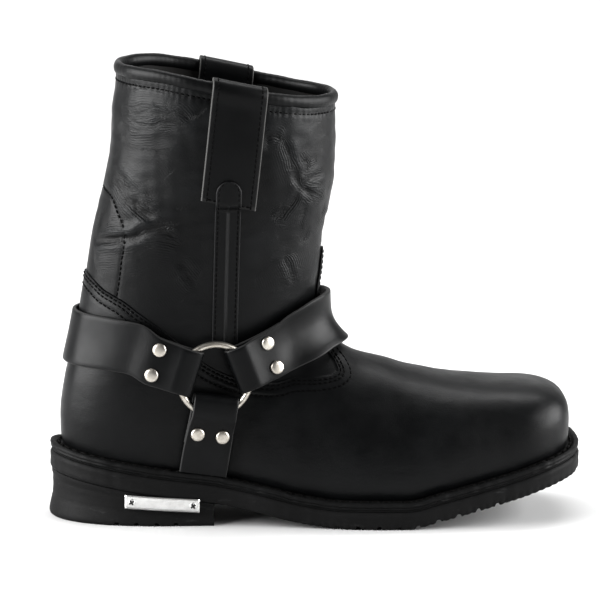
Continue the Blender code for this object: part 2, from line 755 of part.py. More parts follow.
class Band:
    """A strap's path: places of its two edges round the boot, from the middle of the ring out."""

    def __init__(self, direction, table, half_width, turned=1.0, shift=0.0):
        share_x, share_z = RING_PLACE
        self.ring_at = np.array([share_x * FOOT_LENGTH, over_seat(share_z)])
        angle = math.radians(direction)
        self.along = np.array([math.cos(angle), math.sin(angle)])
        self.across = np.array([-self.along[1], self.along[0]]) * turned
        self.centre = self.ring_at + self.across * shift
        self.half_width = half_width
        near = np.arange(0.0, STRAIGHT_RUN if table else LOW_RUN, NEAR_STEP)
        rows = []
        for run in near:
            for_edge = []
            for edge in (1.0, -1.0):
                x, z = self.centre + self.along * run + self.across * edge * self.half(run)
                for_edge += [float(around_at(x, z)), z]
            rows.append(for_edge + [0.0])
        for top_place, top_share, low_place, low_share, stand in table:
            rows.append([top_place, over_seat(top_share), low_place, over_seat(low_share), stand * STRAP_THICK])
        rows = np.array(rows)
        middle = skin((rows[:, 0] + rows[:, 2]) / 2, (rows[:, 1] + rows[:, 3]) / 2, OVERLAY, OUTER)
        run = np.concatenate([[0.0], np.cumsum(np.linalg.norm(np.diff(middle, axis=0), axis=1))])
        run[:len(near)] = near
        self.length = run[-1]
        self.curves = [Curve(run, rows[:, i]) for i in range(5)]

    def half(self, run):
        """Half the width, a little less beside the ring."""
        return self.half_width * (FOLD_NARROW + (1.0 - FOLD_NARROW) * ease(run, RING_OUTER * 0.4, RING_OUTER * 0.9))

    def place(self, run, share):
        """Place round the boot and height, share 1 at the top edge and -1 at the bottom edge."""
        top_place, top, low_place, low = (curve(run) for curve in self.curves[:4])
        weight = (share + 1.0) / 2.0
        return low_place + (top_place - low_place) * weight, low + (top - low) * weight

    def point(self, run, share, level, side):
        """Point of the band at a level over the overlay: flat beside the ring, then on the skin."""
        run, share, level = np.broadcast_arrays(*np.atleast_1d(run, share, level))
        place, height = self.place(np.maximum(run, 0.0), share)
        on_skin = skin(place, height, OVERLAY + level + self.curves[4](run), side)
        origin, first, second, normal = ring_plane(side)
        flat_xz = self.centre + run[..., None] * self.along + (share * self.half(run))[..., None] * self.across
        offset = flat_xz - self.ring_at
        flat = origin + offset[..., :1] * first + offset[..., 1:] * second + level[..., None] * normal
        weight = ease(run, RING_OUTER / 2.0, RING_OUTER / 2.0 + STRAP_WIDTH)[..., None]
        return flat * (1.0 - weight) + on_skin * weight


@lru_cache
def ring_plane(side):
    """Plane that the ring lies in: the point over its middle where the plane clears the overlay, the
    directions to the toe and up in it, and its normal."""
    share_x, share_z = RING_PLACE
    turns = np.linspace(0.0, 2.0 * math.pi, 12, endpoint=False)
    radius = np.concatenate([[0.0], np.full(12, RING_OUTER / 4.0), np.full(12, RING_OUTER / 2.0)])
    turns = np.concatenate([[0.0], turns, turns])
    xs = share_x * FOOT_LENGTH + radius * np.cos(turns)
    zs = over_seat(share_z) + radius * np.sin(turns)
    patch = skin(around_at(xs, zs), zs, OVERLAY, side)
    slopes = outward(patch)
    normal = (slopes / np.linalg.norm(slopes, axis=1)[:, None]).mean(0)
    normal /= np.linalg.norm(normal)
    clear = ((patch - patch[0]) @ normal).max()
    first = np.array([1.0, -normal[0] / normal[1], 0.0])
    second = np.array([0.0, -normal[2] / normal[1], 1.0])
    return patch[0] + normal * clear, first, second, normal


def strap_levels():
    """Heights of the layers over the overlay: lower layer, wire and upper layer, at their middles."""
    lower = STRAP_SEAT + STRAP_THICK / 2.0
    wire = lower + STRAP_THICK / 2.0 + WIRE_GAP + RING_WIRE / 2.0
    upper_layer = wire + RING_WIRE / 2.0 + WIRE_GAP + STRAP_THICK / 2.0
    return lower, wire, upper_layer


def fold_path(fold, back):
    """Middle line of a strap's end in its own section: from the end of the layer below, round the
    ring's wire and back out over it, as distances from the ring's middle and heights."""
    lower, wire, high = strap_levels()
    beside = lower + STRAP_THICK + WIRE_GAP
    bend = (high - lower) / 2.0
    turn_at = fold + bend + FOLD_THICK / 2.0
    path = [(back, lower), (turn_at, lower)]
    for turn in np.linspace(0.0, math.pi, 7)[1:-1]:
        path.append((turn_at - bend * math.sin(turn), wire - bend * math.cos(turn)))
    path += [(turn_at, high), (RING_OUTER / 2.0 + WIRE_GAP, high)]
    return path + [(RING_OUTER / 2.0 + RING_WIRE * 1.5, beside), (back + WIRE_GAP, beside)]


def dense(path, step):
    """A path with points added so that none of its steps is longer than a length."""
    made = [path[0]]
    for start, end in zip(path, path[1:]):
        count = max(1, math.ceil(math.hypot(end[0] - start[0], end[1] - start[1]) / step))
        for i in range(1, count + 1):
            made.append((start[0] + (end[0] - start[0]) * i / count, start[1] + (end[1] - start[1]) * i / count))
    return made


def strap_sections(band, path, side, across=3):
    """Closed sections of leather along a path in a band's own section."""
    path = np.array(path)
    steps = np.diff(path, axis=0)
    steps /= np.linalg.norm(steps, axis=1)[:, None]
    ahead = np.concatenate([steps[:1], steps[:-1] + steps[1:], steps[-1:]])
    ahead /= np.linalg.norm(ahead, axis=1)[:, None]
    thick = np.where(path[:, 0] < RING_OUTER / 2.0 - RING_WIRE * 2.0, FOLD_THICK, STRAP_THICK)
    normal = np.stack([-ahead[:, 1], ahead[:, 0]], -1) * thick[:, None] / 2.0
    shares = np.linspace(-1.0, 1.0, across)
    rings = []
    for at, offset in zip(path, normal):
        one = band.point(at[0] + offset[0], shares, at[1] + offset[1], side)
        two = band.point(at[0] - offset[0], shares[::-1], at[1] - offset[1], side)
        rings.append(np.concatenate([one, two]))
    return rings


def bands():
    """The three straps' paths by name."""
    return {
        "rear": Band(REAR_DIRECTION, REAR_STRAP, STRAP_WIDTH / 2.0, -1.0),
        "front": Band(FRONT_DIRECTION, FRONT_STRAP, STRAP_WIDTH / 2.0),
        "low": Band(LOW_DIRECTION, [], LOW_STRAP_WIDTH / 2.0, 1.0, LOW_SHIFT),
    }


def long_strap(name, band, leather, stations):
    """Strap from the outer ring round the boot to the inner ring, folded back under each ring."""
    lower, _, _ = strap_levels()
    fold = dense(fold_path(FOLD_REACH, RETURN_LENGTH), PATH_STEP)
    path = fold + [(run, lower) for run in np.linspace(RETURN_LENGTH + STRAP_THICK * 3.4, band.length, stations)]
    outer = strap_sections(band, path, OUTER)
    inner = strap_sections(band, path, INNER)
    return bar(name, outer[:-1] + inner[::-1], leather)


def low_strap(name, band, side, leather):
    """Short strap from the ring down to the welt."""
    lower, _, _ = strap_levels()
    foot = (band.centre[1] - sole_top(band.centre[0])) - CURVED_GAP * 3.0
    path = fold_path(LOW_FOLD_REACH, RETURN_LENGTH * 0.9)[:-1]
    path.append((foot, path[-1][1]))
    return bar(name, strap_sections(band, dense(path, PATH_STEP), side), leather)


def ring(name, side, metal):
    """Round wire ring that the three straps fold over."""
    origin, first, second, normal = ring_plane(side)
    first = first / np.linalg.norm(first)
    second = np.cross(normal, first)
    _, wire, _ = strap_levels()
    centre = origin + normal * wire
    mean = (RING_OUTER - RING_WIRE) / 2.0
    rings = []
    for turn in np.linspace(0.0, 2.0 * math.pi, 26, endpoint=False):
        spoke = first * math.cos(turn) + second * math.sin(turn)
        section = [centre + spoke * (mean + RING_WIRE / 2.0 * math.cos(s)) + normal * RING_WIRE / 2.0 * math.sin(s)
                   for s in np.linspace(0.0, 2.0 * math.pi, 6, endpoint=False)]
        rings.append(section)
    return tube(name, rings, metal, sharp=60.0)


def dome(name, centre, normal, across, height, metal, steps=9):
    """Domed head on a flat base."""
    helper = np.array([1.0, 0.0, 0.0])
    first = np.cross(normal, helper)
    first /= np.linalg.norm(first)
    second = np.cross(normal, first)
    rings = []
    for radius, rise in ((0.97, 0.0), (1.0, 0.30), (0.60, 0.95)):
        turns = np.linspace(0.0, 2.0 * math.pi, steps, endpoint=False)
        rings.append([centre + across / 2.0 * radius * (first * math.cos(t) + second * math.sin(t))
                      + normal * height * rise for t in turns])
    return bar(name, rings, metal, sharp=60.0)


def rivets(straps, metal):
    """Two rivets in each strap on both sides of the boot."""
    lower, _, _ = strap_levels()
    level = lower + STRAP_THICK * 1.5 + WIRE_GAP + CURVED_GAP
    reaches = {"rear": RIVET_REACH, "front": RIVET_REACH, "low": LOW_RIVET_REACH}
    for side, side_name in ((OUTER, "outer"), (INNER, "inner")):
        for strap, band in straps.items():
            for number, sign in ((1, 1.0), (2, -1.0)):
                share = sign * RIVET_SPACING / STRAP_WIDTH
                at = band.point(reaches[strap], share, level, side)[0]
                beside = [band.point(reaches[strap] + run, share + over, level, side)[0]
                          for run, over in ((RIVET_ACROSS / 3.0, 0.0), (-RIVET_ACROSS / 3.0, 0.0), (0.0, 0.2), (0.0, -0.2))]
                normal = np.cross(beside[0] - beside[1], beside[2] - beside[3])
                normal *= side * np.sign(normal[1]) / np.linalg.norm(normal)
                dome(f"rivet_{strap}_{side_name}_{number}", at, normal, RIVET_ACROSS, RIVET_HEIGHT, metal)


def pull_path():
    """Middle line of a pull strap in the section of the wall: up the outside, over the roll, down
    the inside, as drops from the top of the roll and levels of the field."""
    out = PULL_SEAT + PULL_THICK / 2.0
    over_roll = -WALL / 2.0 + ROLL_THICK / 2.0 + CURVED_GAP + PULL_THICK / 2.0
    middle = -WALL / 2.0
    top_bend = over_roll - middle
    inside = -WALL - PULL_SEAT - PULL_THICK / 2.0
    over_inside = middle - top_bend
    rise = PULL_LIFT - top_bend + CURVED_GAP
    path = [(PULL_LENGTH, out), (PULL_LENGTH * 0.55, out), (ROLL_HEIGHT + PULL_BEND, out), (ROLL_HEIGHT * 0.6, over_roll)]
    for turn in np.linspace(0.0, math.pi, 7):
        path.append((-rise - top_bend * math.sin(turn), middle + top_bend * math.cos(turn)))
    path += [(ROLL_HEIGHT * 0.6, over_inside), (ROLL_HEIGHT + PULL_BEND, inside)]
    path += [(PULL_INSIDE * 0.6, inside), (PULL_INSIDE, inside)]
    return path


def pull_strap(name, side, leather):
    """Leather pull strap sewn to the shaft and folded over the collar."""
    path = np.array(pull_path())
    ahead = np.gradient(path, axis=0)
    ahead /= np.linalg.norm(ahead, axis=1)[:, None]
    normal = np.stack([-ahead[:, 1], ahead[:, 0]], -1) * PULL_THICK / 2.0
    shares = np.linspace(-0.5, 0.5, 5)
    rings = []
    for at, offset in zip(path, normal):
        section = []
        for sign, order in ((1.0, shares), (-1.0, shares[::-1])):
            drop = at[0] + sign * offset[0]
            level = at[1] + sign * offset[1]
            lean = PULL_LEAN * (1.0 - max(drop, 0.0) / PULL_LENGTH)
            x = PULL_PLACE * FOOT_LENGTH + lean + order * PULL_WIDTH
            height = collar_top(x) - drop
            section.append(skin(around_at(x, height), height, level, side))
        rings.append(np.concatenate(section))
    return bar(name, rings, leather)


def seam_tape(name, side, leather):
    """Strip over the side seam, with a round top that laps over the foot of the pull strap."""
    foot_x = PULL_PLACE * FOOT_LENGTH
    top_height = float(collar_top(foot_x)) - PULL_LENGTH
    low_height = over_seat(RING_PLACE[1]) + RING_OUTER / 2.0 + STRAP_THICK + TAPE_CLEAR
    heights = list(np.linspace(low_height, top_height - TAPE_WIDTH * 0.6, 5))
    heights += [top_height - TAPE_WIDTH * 0.2, top_height + TAPE_OVER - TAPE_WIDTH / 2.0]
    round_steps = np.linspace(0.0, math.pi / 2.0, 5)[1:-1]
    heights += [top_height + TAPE_OVER - TAPE_WIDTH / 2.0 * (1.0 - math.sin(t)) for t in round_steps]
    rings = []
    for height in heights:
        near_top = max(0.0, (height - (top_height + TAPE_OVER - TAPE_WIDTH / 2.0)) / (TAPE_WIDTH / 2.0))
        half = TAPE_WIDTH / 2.0 * math.sqrt(1.0 - near_top ** 2)
        lap = ease(height, top_height - TAPE_WIDTH * 0.6, top_height - TAPE_WIDTH * 0.2)
        over = CURVED_GAP + lap * (PULL_THICK + PULL_SEAT)
        shares = np.linspace(-1.0, 1.0, 4)
        low = skin(around_at(foot_x + shares * half, height), height, over, side)
        high = skin(around_at(foot_x + shares[::-1] * half, height), height, over + TAPE_THICK, side)
        rings.append(np.concatenate([low, high]))
    return bar(name, rings, leather)


def vamp_tongue(leather):
    """Narrow tongue of the vamp up the front of the shaft, behind the front strap."""
    low = over_seat(SEAM_LINE[-1][1]) + STRAP_THICK * 3.6
    top = over_seat(FRONT_STRAP[-1][1]) + TONGUE_TOP
    half = TONGUE_WIDTH / 2.0
    heights = list(np.linspace(low, top - half, 7))
    heights += [top - half * (1.0 - math.sin(t)) for t in np.linspace(0.0, math.pi / 2.0, 5)[1:-1]]
    rings = []
    for height in heights:
        near_top = max(0.0, (height - (top - half)) / half)
        reach_out = half * math.sqrt(1.0 - near_top ** 2)
        aside = np.linspace(-1.0, 1.0, 5) * reach_out
        section = []
        for level, row in ((CURVED_GAP, aside), (CURVED_GAP + OVERLAY, aside[::-1])):
            start = np.stack([0.0 * row + FRONT_AXIS, row, 0.0 * row + height], -1)
            section.append(reach(start, np.array([1.0, 0.0, 0.0]) + 0.0 * start, level))
        rings.append(np.concatenate(section))
    return bar("vamp_tongue", rings, leather)


def badge(metal):
    """Bare plate on the heel's outer side, with a screw at each end."""
    outline = sole_outline(np.linspace(HEEL_AXIS, TOE_AXIS, 40), SEAT)
    edge = grown(outline, WELT_REACH)[:len(outline) // 2]
    order = np.argsort(edge[:, 0])
    side_at = Curve(edge[order, 0][2:], edge[order, 1][2:])
    centre = PLATE_FROM_BACK + PLATE_LENGTH / 2.0
    run = np.linspace(-0.5, 0.5, 6) * PLATE_LENGTH
    rings = []
    for x in centre + run:
        y = float(side_at(x))
        level = PLATE_LEVEL + (x - centre) * PLATE_TILT
        section = []
        for out, rise in ((SEAT, -0.5), (SEAT, 0.5), (SEAT + PLATE_THICK, 0.5), (SEAT + PLATE_THICK, -0.5)):
            section.append((x, y - out - CURVED_GAP, level + rise * PLATE_HEIGHT))
        rings.append(section)
    bar("badge_plate", rings, metal, sharp=30.0)
    for number, sign in ((1, -1.0), (2, 1.0)):
        x = centre + sign * (PLATE_LENGTH / 2.0 - SCREW_ACROSS * 0.75)
        y = float(side_at(x)) - SEAT - CURVED_GAP - PLATE_THICK - SEAT
        at = np.array([x, y, PLATE_LEVEL + (x - centre) * PLATE_TILT])
        slope = float(side_at(x + SCREW_ACROSS) - side_at(x - SCREW_ACROSS)) / (2.0 * SCREW_ACROSS)
        normal = np.array([slope, -1.0, 0.0]) / math.hypot(slope, 1.0)
        dome(f"badge_screw_{number}", at, normal, SCREW_ACROSS, SCREW_HEIGHT, metal, 8)


def centred():
    """Move the boot so that the origin is on the floor under the middle of its box."""
    made = [o for o in bpy.context.scene.objects if o.type == "MESH"]
    corners = np.array([v.co[:] for o in made for v in o.data.vertices])
    middle = (corners.min(0) + corners.max(0)) / 2.0
    for o in made:
        for v in o.data.vertices:
            v.co.x -= middle[0]
            v.co.y -= middle[1]
            v.co.z -= corners[:, 2].min()


def main():
    for old in list(bpy.data.objects):
        bpy.data.objects.remove(old, do_unlink=True)
    leather = material("black_leather", (0.020, 0.021, 0.022), 0.45)
    strap_leather = material("strap_leather", (0.018, 0.019, 0.021), 0.40)
    rubber = material("black_rubber", (0.014, 0.014, 0.015), 0.60)
    board = material("insole_board", (0.10, 0.085, 0.07), 0.80)
    nickel = material("antique_nickel", (0.62, 0.59, 0.54), 0.35, 1.0)
    upper(leather)
    collar_roll(leather)
    insole(board)
    welt(rubber)
    outsole(rubber)
    heel(rubber)
    vamp_tongue(leather)
    straps = bands()
    long_strap("rear_strap", straps["rear"], strap_leather, 17)
    long_strap("front_strap", straps["front"], strap_leather, 15)
    for side, side_name in ((OUTER, "outer"), (INNER, "inner")):
        low_strap(f"low_strap_{side_name}", straps["low"], side, strap_leather)
        ring(f"ring_{side_name}", side, nickel)
        pull_strap(f"pull_strap_{side_name}", side, strap_leather)
        seam_tape(f"seam_tape_{side_name}", side, leather)
    rivets(straps, nickel)
    badge(nickel)
    centred()


main()
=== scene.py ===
"""Looks of the harness boot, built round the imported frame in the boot's own sizes.

The tables and the field of the last are the same as in the part's source, so each detailed piece
lies where its plain solid lies. Pieces are made with X = 0 at the heel back of the last and Z = 0 on
the floor, and then moved onto the frame.
"""

import math
from functools import lru_cache

import bpy
import numpy as np
from mathutils import Matrix, Vector
from mathutils.kdtree import KDTree


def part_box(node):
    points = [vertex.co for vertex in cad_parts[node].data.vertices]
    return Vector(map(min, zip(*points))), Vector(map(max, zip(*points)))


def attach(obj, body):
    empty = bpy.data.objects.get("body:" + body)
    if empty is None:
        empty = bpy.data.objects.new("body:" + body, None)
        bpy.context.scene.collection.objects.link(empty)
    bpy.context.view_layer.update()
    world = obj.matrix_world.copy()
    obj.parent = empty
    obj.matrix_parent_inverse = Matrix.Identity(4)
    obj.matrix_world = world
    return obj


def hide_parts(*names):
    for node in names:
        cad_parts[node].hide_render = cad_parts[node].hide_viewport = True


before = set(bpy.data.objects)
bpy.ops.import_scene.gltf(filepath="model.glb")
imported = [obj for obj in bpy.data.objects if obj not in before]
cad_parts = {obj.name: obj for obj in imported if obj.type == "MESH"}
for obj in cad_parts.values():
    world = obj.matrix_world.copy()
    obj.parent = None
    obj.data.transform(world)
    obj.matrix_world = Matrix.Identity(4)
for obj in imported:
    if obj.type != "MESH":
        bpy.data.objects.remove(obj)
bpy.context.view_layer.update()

# Last and upper
FOOT_LENGTH = 0.3015
BALL_WIDTH = 0.0965
INSTEP_HEIGHT = 0.094
UPPER_HEIGHT = 0.224
SHAFT_WIDTH = 0.097
COLLAR_DROP = 0.0163
WALL = 0.0022
OVERLAY = 0.0012
TUCK_HEIGHT = 0.012
TUCK_DEPTH = 0.032
TOE_ROUND = 0.0360
TOE_SLANT = 0.05

# Sole
HEEL_RISE = 0.0285
TOE_SPRING = 0.0290
OUTSOLE = 0.0105
WELT = 0.0057
WELT_REACH = 0.0068
WELT_UNDER = 0.0065
LAYER_GROOVE = 0.0012
HEEL_LENGTH = 0.0885
HEEL_WAIST = 0.0014
BREAST_BOW = 0.004
INSOLE = 0.0032
LUG_PITCH = 0.0115
LUG_GROOVE = 0.0030
LUG_DEPTH = 0.0016
EDGE_ROUND = 0.0012

# Collar roll and pull straps
ROLL_HEIGHT = 0.0072
ROLL_THICK = 0.0056
PULL_WIDTH = 0.0320
PULL_THICK = 0.0024
PULL_LENGTH = 0.0700
PULL_INSIDE = 0.0560
PULL_LIFT = 0.0016
PULL_SEAT = 0.0010
PULL_LEAN = 0.0058
PULL_BEND = 0.0040
TAPE_WIDTH = 0.0150
TAPE_THICK = 0.0012
TAPE_OVER = 0.0150
TONGUE_WIDTH = 0.0175
TONGUE_TOP = 0.0250

# Harness
STRAP_WIDTH = 0.0290
LOW_STRAP_WIDTH = 0.0278
STRAP_THICK = 0.0025
RING_OUTER = 0.0455
RING_WIRE = 0.0039
FOLD_REACH = 0.0105
LOW_FOLD_REACH = 0.0086
LOW_SHIFT = 0.0022
FOLD_THICK = 0.0020
FOLD_NARROW = 0.945
STRAP_SEAT = 0.0008
STRAIGHT_RUN = 0.0370
LOW_RUN = 0.0800
NEAR_STEP = 0.0120
RETURN_LENGTH = 0.0445
RIVET_ACROSS = 0.0082
RIVET_HEIGHT = 0.0018
RIVET_SPACING = 0.0156
RIVET_REACH = 0.0363
LOW_RIVET_REACH = 0.0335

# Badge plate on the heel
PLATE_LENGTH = 0.0436
PLATE_HEIGHT = 0.0080
PLATE_THICK = 0.0009
PLATE_FROM_BACK = 0.0362
PLATE_LEVEL = 0.0135
PLATE_TILT = -0.06
SCREW_ACROSS = 0.0048

# Clearances
SEAT = 0.0003
CURVED_GAP = 0.0005
WIRE_GAP = 0.0003

# Steps of the searches on the last's field
FIELD_STEP = 0.0002
LONGEST_MOVE = 0.02
FAR_REACH = 0.24

# Steps of the plain solids' sole
SOLE_FAN = 7
SOLE_STATIONS = 34

# Foot sections: share of foot length, outer and inner half width as shares of half the ball width,
# height over the sole as a share of the instep height, and how square the section is
FOOT_SECTIONS = [
    (0.22, 0.56, 0.56, 0.90, 2.0),
    (0.30, 0.66, 0.62, 0.92, 2.0),
    (0.40, 0.79, 0.66, 0.95, 2.0),
    (0.48, 0.88, 0.71, 0.95, 2.0),
    (0.54, 0.95, 0.77, 0.90, 2.0),
    (0.58, 0.99, 0.82, 0.84, 2.0),
    (0.64, 1.01, 0.90, 0.79, 2.0),
    (0.69, 1.00, 0.96, 0.73, 2.1),
    (0.74, 0.97, 0.99, 0.65, 2.2),
    (0.80, 0.91, 0.985, 0.576, 2.4),
    (0.87, 0.83, 0.94, 0.50, 2.6),
    (0.94, 0.78, 0.89, 0.43, 2.8),
    (1.00, 0.75, 0.87, 0.375, 3.0),
]
# Heel, ankle and shaft sections: share of upper height over the heel seat, back and front as
# shares of foot length, outer and inner half width as shares of half the shaft width, squareness
SHAFT_SECTIONS = [
    (-0.02, 0.0100, 0.36, 0.63, 0.62, 2.3),
    (0.03, 0.0050, 0.37, 0.66, 0.645, 2.3),
    (0.07, 0.0045, 0.38, 0.69, 0.67, 2.3),
    (0.15, 0.0105, 0.40, 0.715, 0.695, 2.3),
    (0.23, 0.0225, 0.43, 0.725, 0.71, 2.25),
    (0.31, 0.0345, 0.465, 0.735, 0.72, 2.2),
    (0.39, 0.0440, 0.494, 0.755, 0.74, 2.2),
    (0.47, 0.0510, 0.504, 0.795, 0.78, 2.2),
    (0.55, 0.0600, 0.506, 0.845, 0.83, 2.15),
    (0.63, 0.0740, 0.519, 0.90, 0.885, 2.1),
    (0.71, 0.0860, 0.529, 0.945, 0.93, 2.1),
    (0.79, 0.0935, 0.529, 0.98, 0.97, 2.1),
    (0.87, 0.0965, 0.528, 1.00, 0.995, 2.1),
    (0.95, 0.1030, 0.528, 1.01, 1.01, 2.1),
    (1.02, 0.1040, 0.530, 1.015, 1.015, 2.1),
]
# Underside of the outsole: share of foot length, share of the heel rise, share of the toe spring
SOLE_LINE = [
    (-0.03, 1.02, 0.0),
    (0.00, 0.95, 0.0),
    (0.08, 0.80, 0.0),
    (0.18, 0.625, 0.0),
    (0.29, 0.47, 0.0),
    (0.385, 0.275, 0.0),
    (0.45, 0.12, 0.0),
    (0.51, 0.025, 0.0),
    (0.54, 0.0, 0.0),
    (0.665, 0.0, 0.0),
    (0.735, 0.0, 0.165),
    (0.815, 0.0, 0.37),
    (0.88, 0.0, 0.55),
    (0.94, 0.0, 0.745),
    (0.98, 0.0, 0.865),
    (1.04, 0.0, 1.03),
]
# Sideways place of the ridge towards the inner side, as a share of half the ball width
RIDGE_SWING = [(0.45, 0.0), (0.62, 0.05), (0.78, 0.11), (1.0, 0.09)]
# Collar: share of foot length, share of the collar drop
COLLAR_LINE = [(0.09, 0.0), (0.16, 0.02), (0.25, 0.26), (0.31, 0.48), (0.405, 0.80), (0.49, 0.98),
               (0.56, 1.0)]
# Upper edge of counter and vamp from the heel back to the instep:
# round the boot (see skin), share of the upper height over the heel seat
SEAM_LINE = [
    (-1.00, 0.450),
    (-0.75, 0.446),
    (-0.41, 0.432),
    (-0.18, 0.412),
    (0.00, 0.397),
    (0.14, 0.359),
    (0.24, 0.330),
    (0.35, 0.296),
    (0.48, 0.250),
    (0.63, 0.208),
    (0.80, 0.181),
    (0.97, 0.174),
    (1.23, 0.186),
    (1.38, 0.186),
    (1.50, 0.189),
    (1.595, 0.197),
    (1.655, 0.222),
    (1.715, 0.252),
    (1.80, 0.283),
    (1.90, 0.303),
    (2.00, 0.310),
]
# Rear strap from behind the ring to the heel: round the boot and share of the upper height, at
# its top and at its bottom edge, and how far it stands off as a share of its thickness
REAR_STRAP = [
    (0.18, 0.333, 0.095, 0.202, 0.0),
    (0.06, 0.342, 0.02, 0.207, 0.05),
    (-0.20, 0.347, -0.20, 0.211, 0.10),
    (-0.60, 0.349, -0.60, 0.212, 0.15),
    (-1.00, 0.350, -1.00, 0.213, 0.20),
]
# Front strap from before the ring to the instep, with the same columns
FRONT_STRAP = [
    (1.08, 0.348, 1.20, 0.212, 0.35),
    (1.30, 0.370, 1.47, 0.237, 0.75),
    (1.52, 0.388, 1.68, 0.258, 1.00),
    (1.76, 0.398, 1.86, 0.268, 1.10),
    (2.00, 0.400, 2.00, 0.270, 1.10),
]
# Ring centre: share of foot length, share of the upper height over the heel seat
RING_PLACE = (0.289, 0.194)
# Directions that the straps leave the ring in, in degrees from the toe, seen from the outer side
REAR_DIRECTION = 163.0
FRONT_DIRECTION = 21.7
LOW_DIRECTION = 262.3
# Pull strap: share of foot length at its foot
PULL_PLACE = 0.3105
# Section of the field's blends: at the instep and on the flanks
INSTEP_BLEND = 0.040
FLANK_BLEND = 0.012
INSTEP_BLEND_WIDTH = 0.030
INSTEP_BLEND_START = 0.090
INSTEP_BLEND_FULL = 0.135
HEEL_END = 0.070
HEEL_END_ROUND = 0.045
# Axes that seams and straps are placed from: behind the first a fan round the heel, then
# straight out to the side, and a fan round the front past the second
HEEL_AXIS = 0.030
FRONT_AXIS = 0.125
TOE_AXIS = 0.262

SEAT_LEVEL = HEEL_RISE + OUTSOLE + WELT
OUTER = -1.0
INNER = 1.0


class Curve:
    """A smooth line through the rows of a table that never overshoots them."""

    def __init__(self, xs, ys):
        self.x = np.array(xs, float)
        self.y = np.array(ys, float)
        step = np.diff(self.x)
        rise = np.diff(self.y) / step
        slope = np.zeros_like(self.x)
        slope[0] = rise[0]
        slope[-1] = rise[-1]
        for i in range(1, len(self.x) - 1):
            if rise[i - 1] * rise[i] > 0.0:
                ahead = 2.0 * step[i] + step[i - 1]
                behind = step[i] + 2.0 * step[i - 1]
                slope[i] = (ahead + behind) / (ahead / rise[i - 1] + behind / rise[i])
        self.slope = slope

    def __call__(self, x):
        x = np.clip(x, self.x[0], self.x[-1])
        i = np.clip(np.searchsorted(self.x, x) - 1, 0, len(self.x) - 2)
        step = self.x[i + 1] - self.x[i]
        t = (x - self.x[i]) / step
        start = (1.0 + 2.0 * t) * (1.0 - t) ** 2 * self.y[i] + t * (1.0 - t) ** 2 * step * self.slope[i]
        end = t * t * (3.0 - 2.0 * t) * self.y[i + 1] + t * t * (t - 1.0) * step * self.slope[i + 1]
        return start + end


def columns(table, *scales):
    """Curves of a table's columns over its first, each scaled to metres."""
    data = np.array(table, float)
    return [Curve(data[:, 0] * scales[0], data[:, i] * scales[i]) for i in range(1, data.shape[1])]


foot_outer, foot_inner, foot_height, foot_square = columns(
    FOOT_SECTIONS, FOOT_LENGTH, BALL_WIDTH / 2, BALL_WIDTH / 2, INSTEP_HEIGHT, 1.0)
shaft_back, shaft_front, shaft_outer, shaft_inner, shaft_square = columns(
    SHAFT_SECTIONS, UPPER_HEIGHT, FOOT_LENGTH, FOOT_LENGTH, SHAFT_WIDTH / 2, SHAFT_WIDTH / 2, 1.0)
heel_line, toe_line = columns(SOLE_LINE, FOOT_LENGTH, HEEL_RISE, TOE_SPRING)
ridge_swing, = columns(RIDGE_SWING, FOOT_LENGTH, BALL_WIDTH / 2)
collar_fall, = columns(COLLAR_LINE, FOOT_LENGTH, COLLAR_DROP)


def underside(x):
    """Height of the outsole's underside at x."""
    return heel_line(x) + toe_line(x)


def sole_top(x):
    """Height of the welt's top at x."""
    return underside(x) + OUTSOLE + WELT


def collar_top(x):
    """Height of the top of the collar roll at x."""
    return SEAT_LEVEL + UPPER_HEIGHT - collar_fall(x)


def ease(value, start, end):
    """Zero before start, one past end and smooth between them."""
    t = np.clip((value - start) / (end - start), 0.0, 1.0)
    return t * t * (3.0 - 2.0 * t)


def rounded(parts, sizes, power):
    """Distance to a rounded body whose parts are shares of its sizes in each direction."""
    weights = [part ** power for part in parts]
    total = np.maximum(sum(weights), 1e-12)
    size = sum(w * s for w, s in zip(weights, sizes)) / total
    return (total ** (1.0 / power) - 1.0) * size


def last(point):
    """Field of the last: zero on the shaft's skin, growing by about a metre for each metre out."""
    x, y, z = point[..., 0], point[..., 1], point[..., 2]
    # Foot
    swing = ridge_swing(x)
    aside = y - swing
    half = np.where(aside < 0.0, foot_outer(x) + swing, foot_inner(x) - swing)
    widest = sole_top(x) + TUCK_HEIGHT
    above = foot_height(x) - TUCK_HEIGHT
    rise = np.where(z > widest, (z - widest) / above, (widest - z) / TUCK_DEPTH)
    to_toe = np.maximum(0.0, (x - TOE_SLANT * aside - FOOT_LENGTH + TOE_ROUND) / TOE_ROUND)
    to_heel = np.maximum(0.0, (HEEL_END - x) / HEEL_END_ROUND)
    foot = rounded(
        (np.abs(aside) / half, np.abs(rise), to_toe, to_heel),
        (half, above, TOE_ROUND, HEEL_END_ROUND), foot_square(x))
    # Heel, ankle and shaft
    level = z - SEAT_LEVEL
    back = shaft_back(level)
    front = shaft_front(level)
    depth = (front - back) / 2.0
    width = np.where(y < 0.0, shaft_outer(level), shaft_inner(level))
    shaft = rounded(
        (np.abs(x - (front + back) / 2.0) / depth, np.abs(y) / width),
        (depth, width), shaft_square(level))
    # Instep
    middle = np.exp(-((y / INSTEP_BLEND_WIDTH) ** 2)) * ease(x, INSTEP_BLEND_START, INSTEP_BLEND_FULL)
    blend = FLANK_BLEND + (INSTEP_BLEND - FLANK_BLEND) * middle
    share = np.clip(0.5 + 0.5 * (shaft - foot) / blend, 0.0, 1.0)
    return shaft + (foot - shaft) * share - blend * share * (1.0 - share)


def outward(point, step=FIELD_STEP):
    """Gradient of the last's field."""
    slopes = []
    for axis in range(3):
        move = np.zeros(3)
        move[axis] = step
        slopes.append((last(point + move) - last(point - move)) / (2.0 * step))
    return np.stack(slopes, -1)


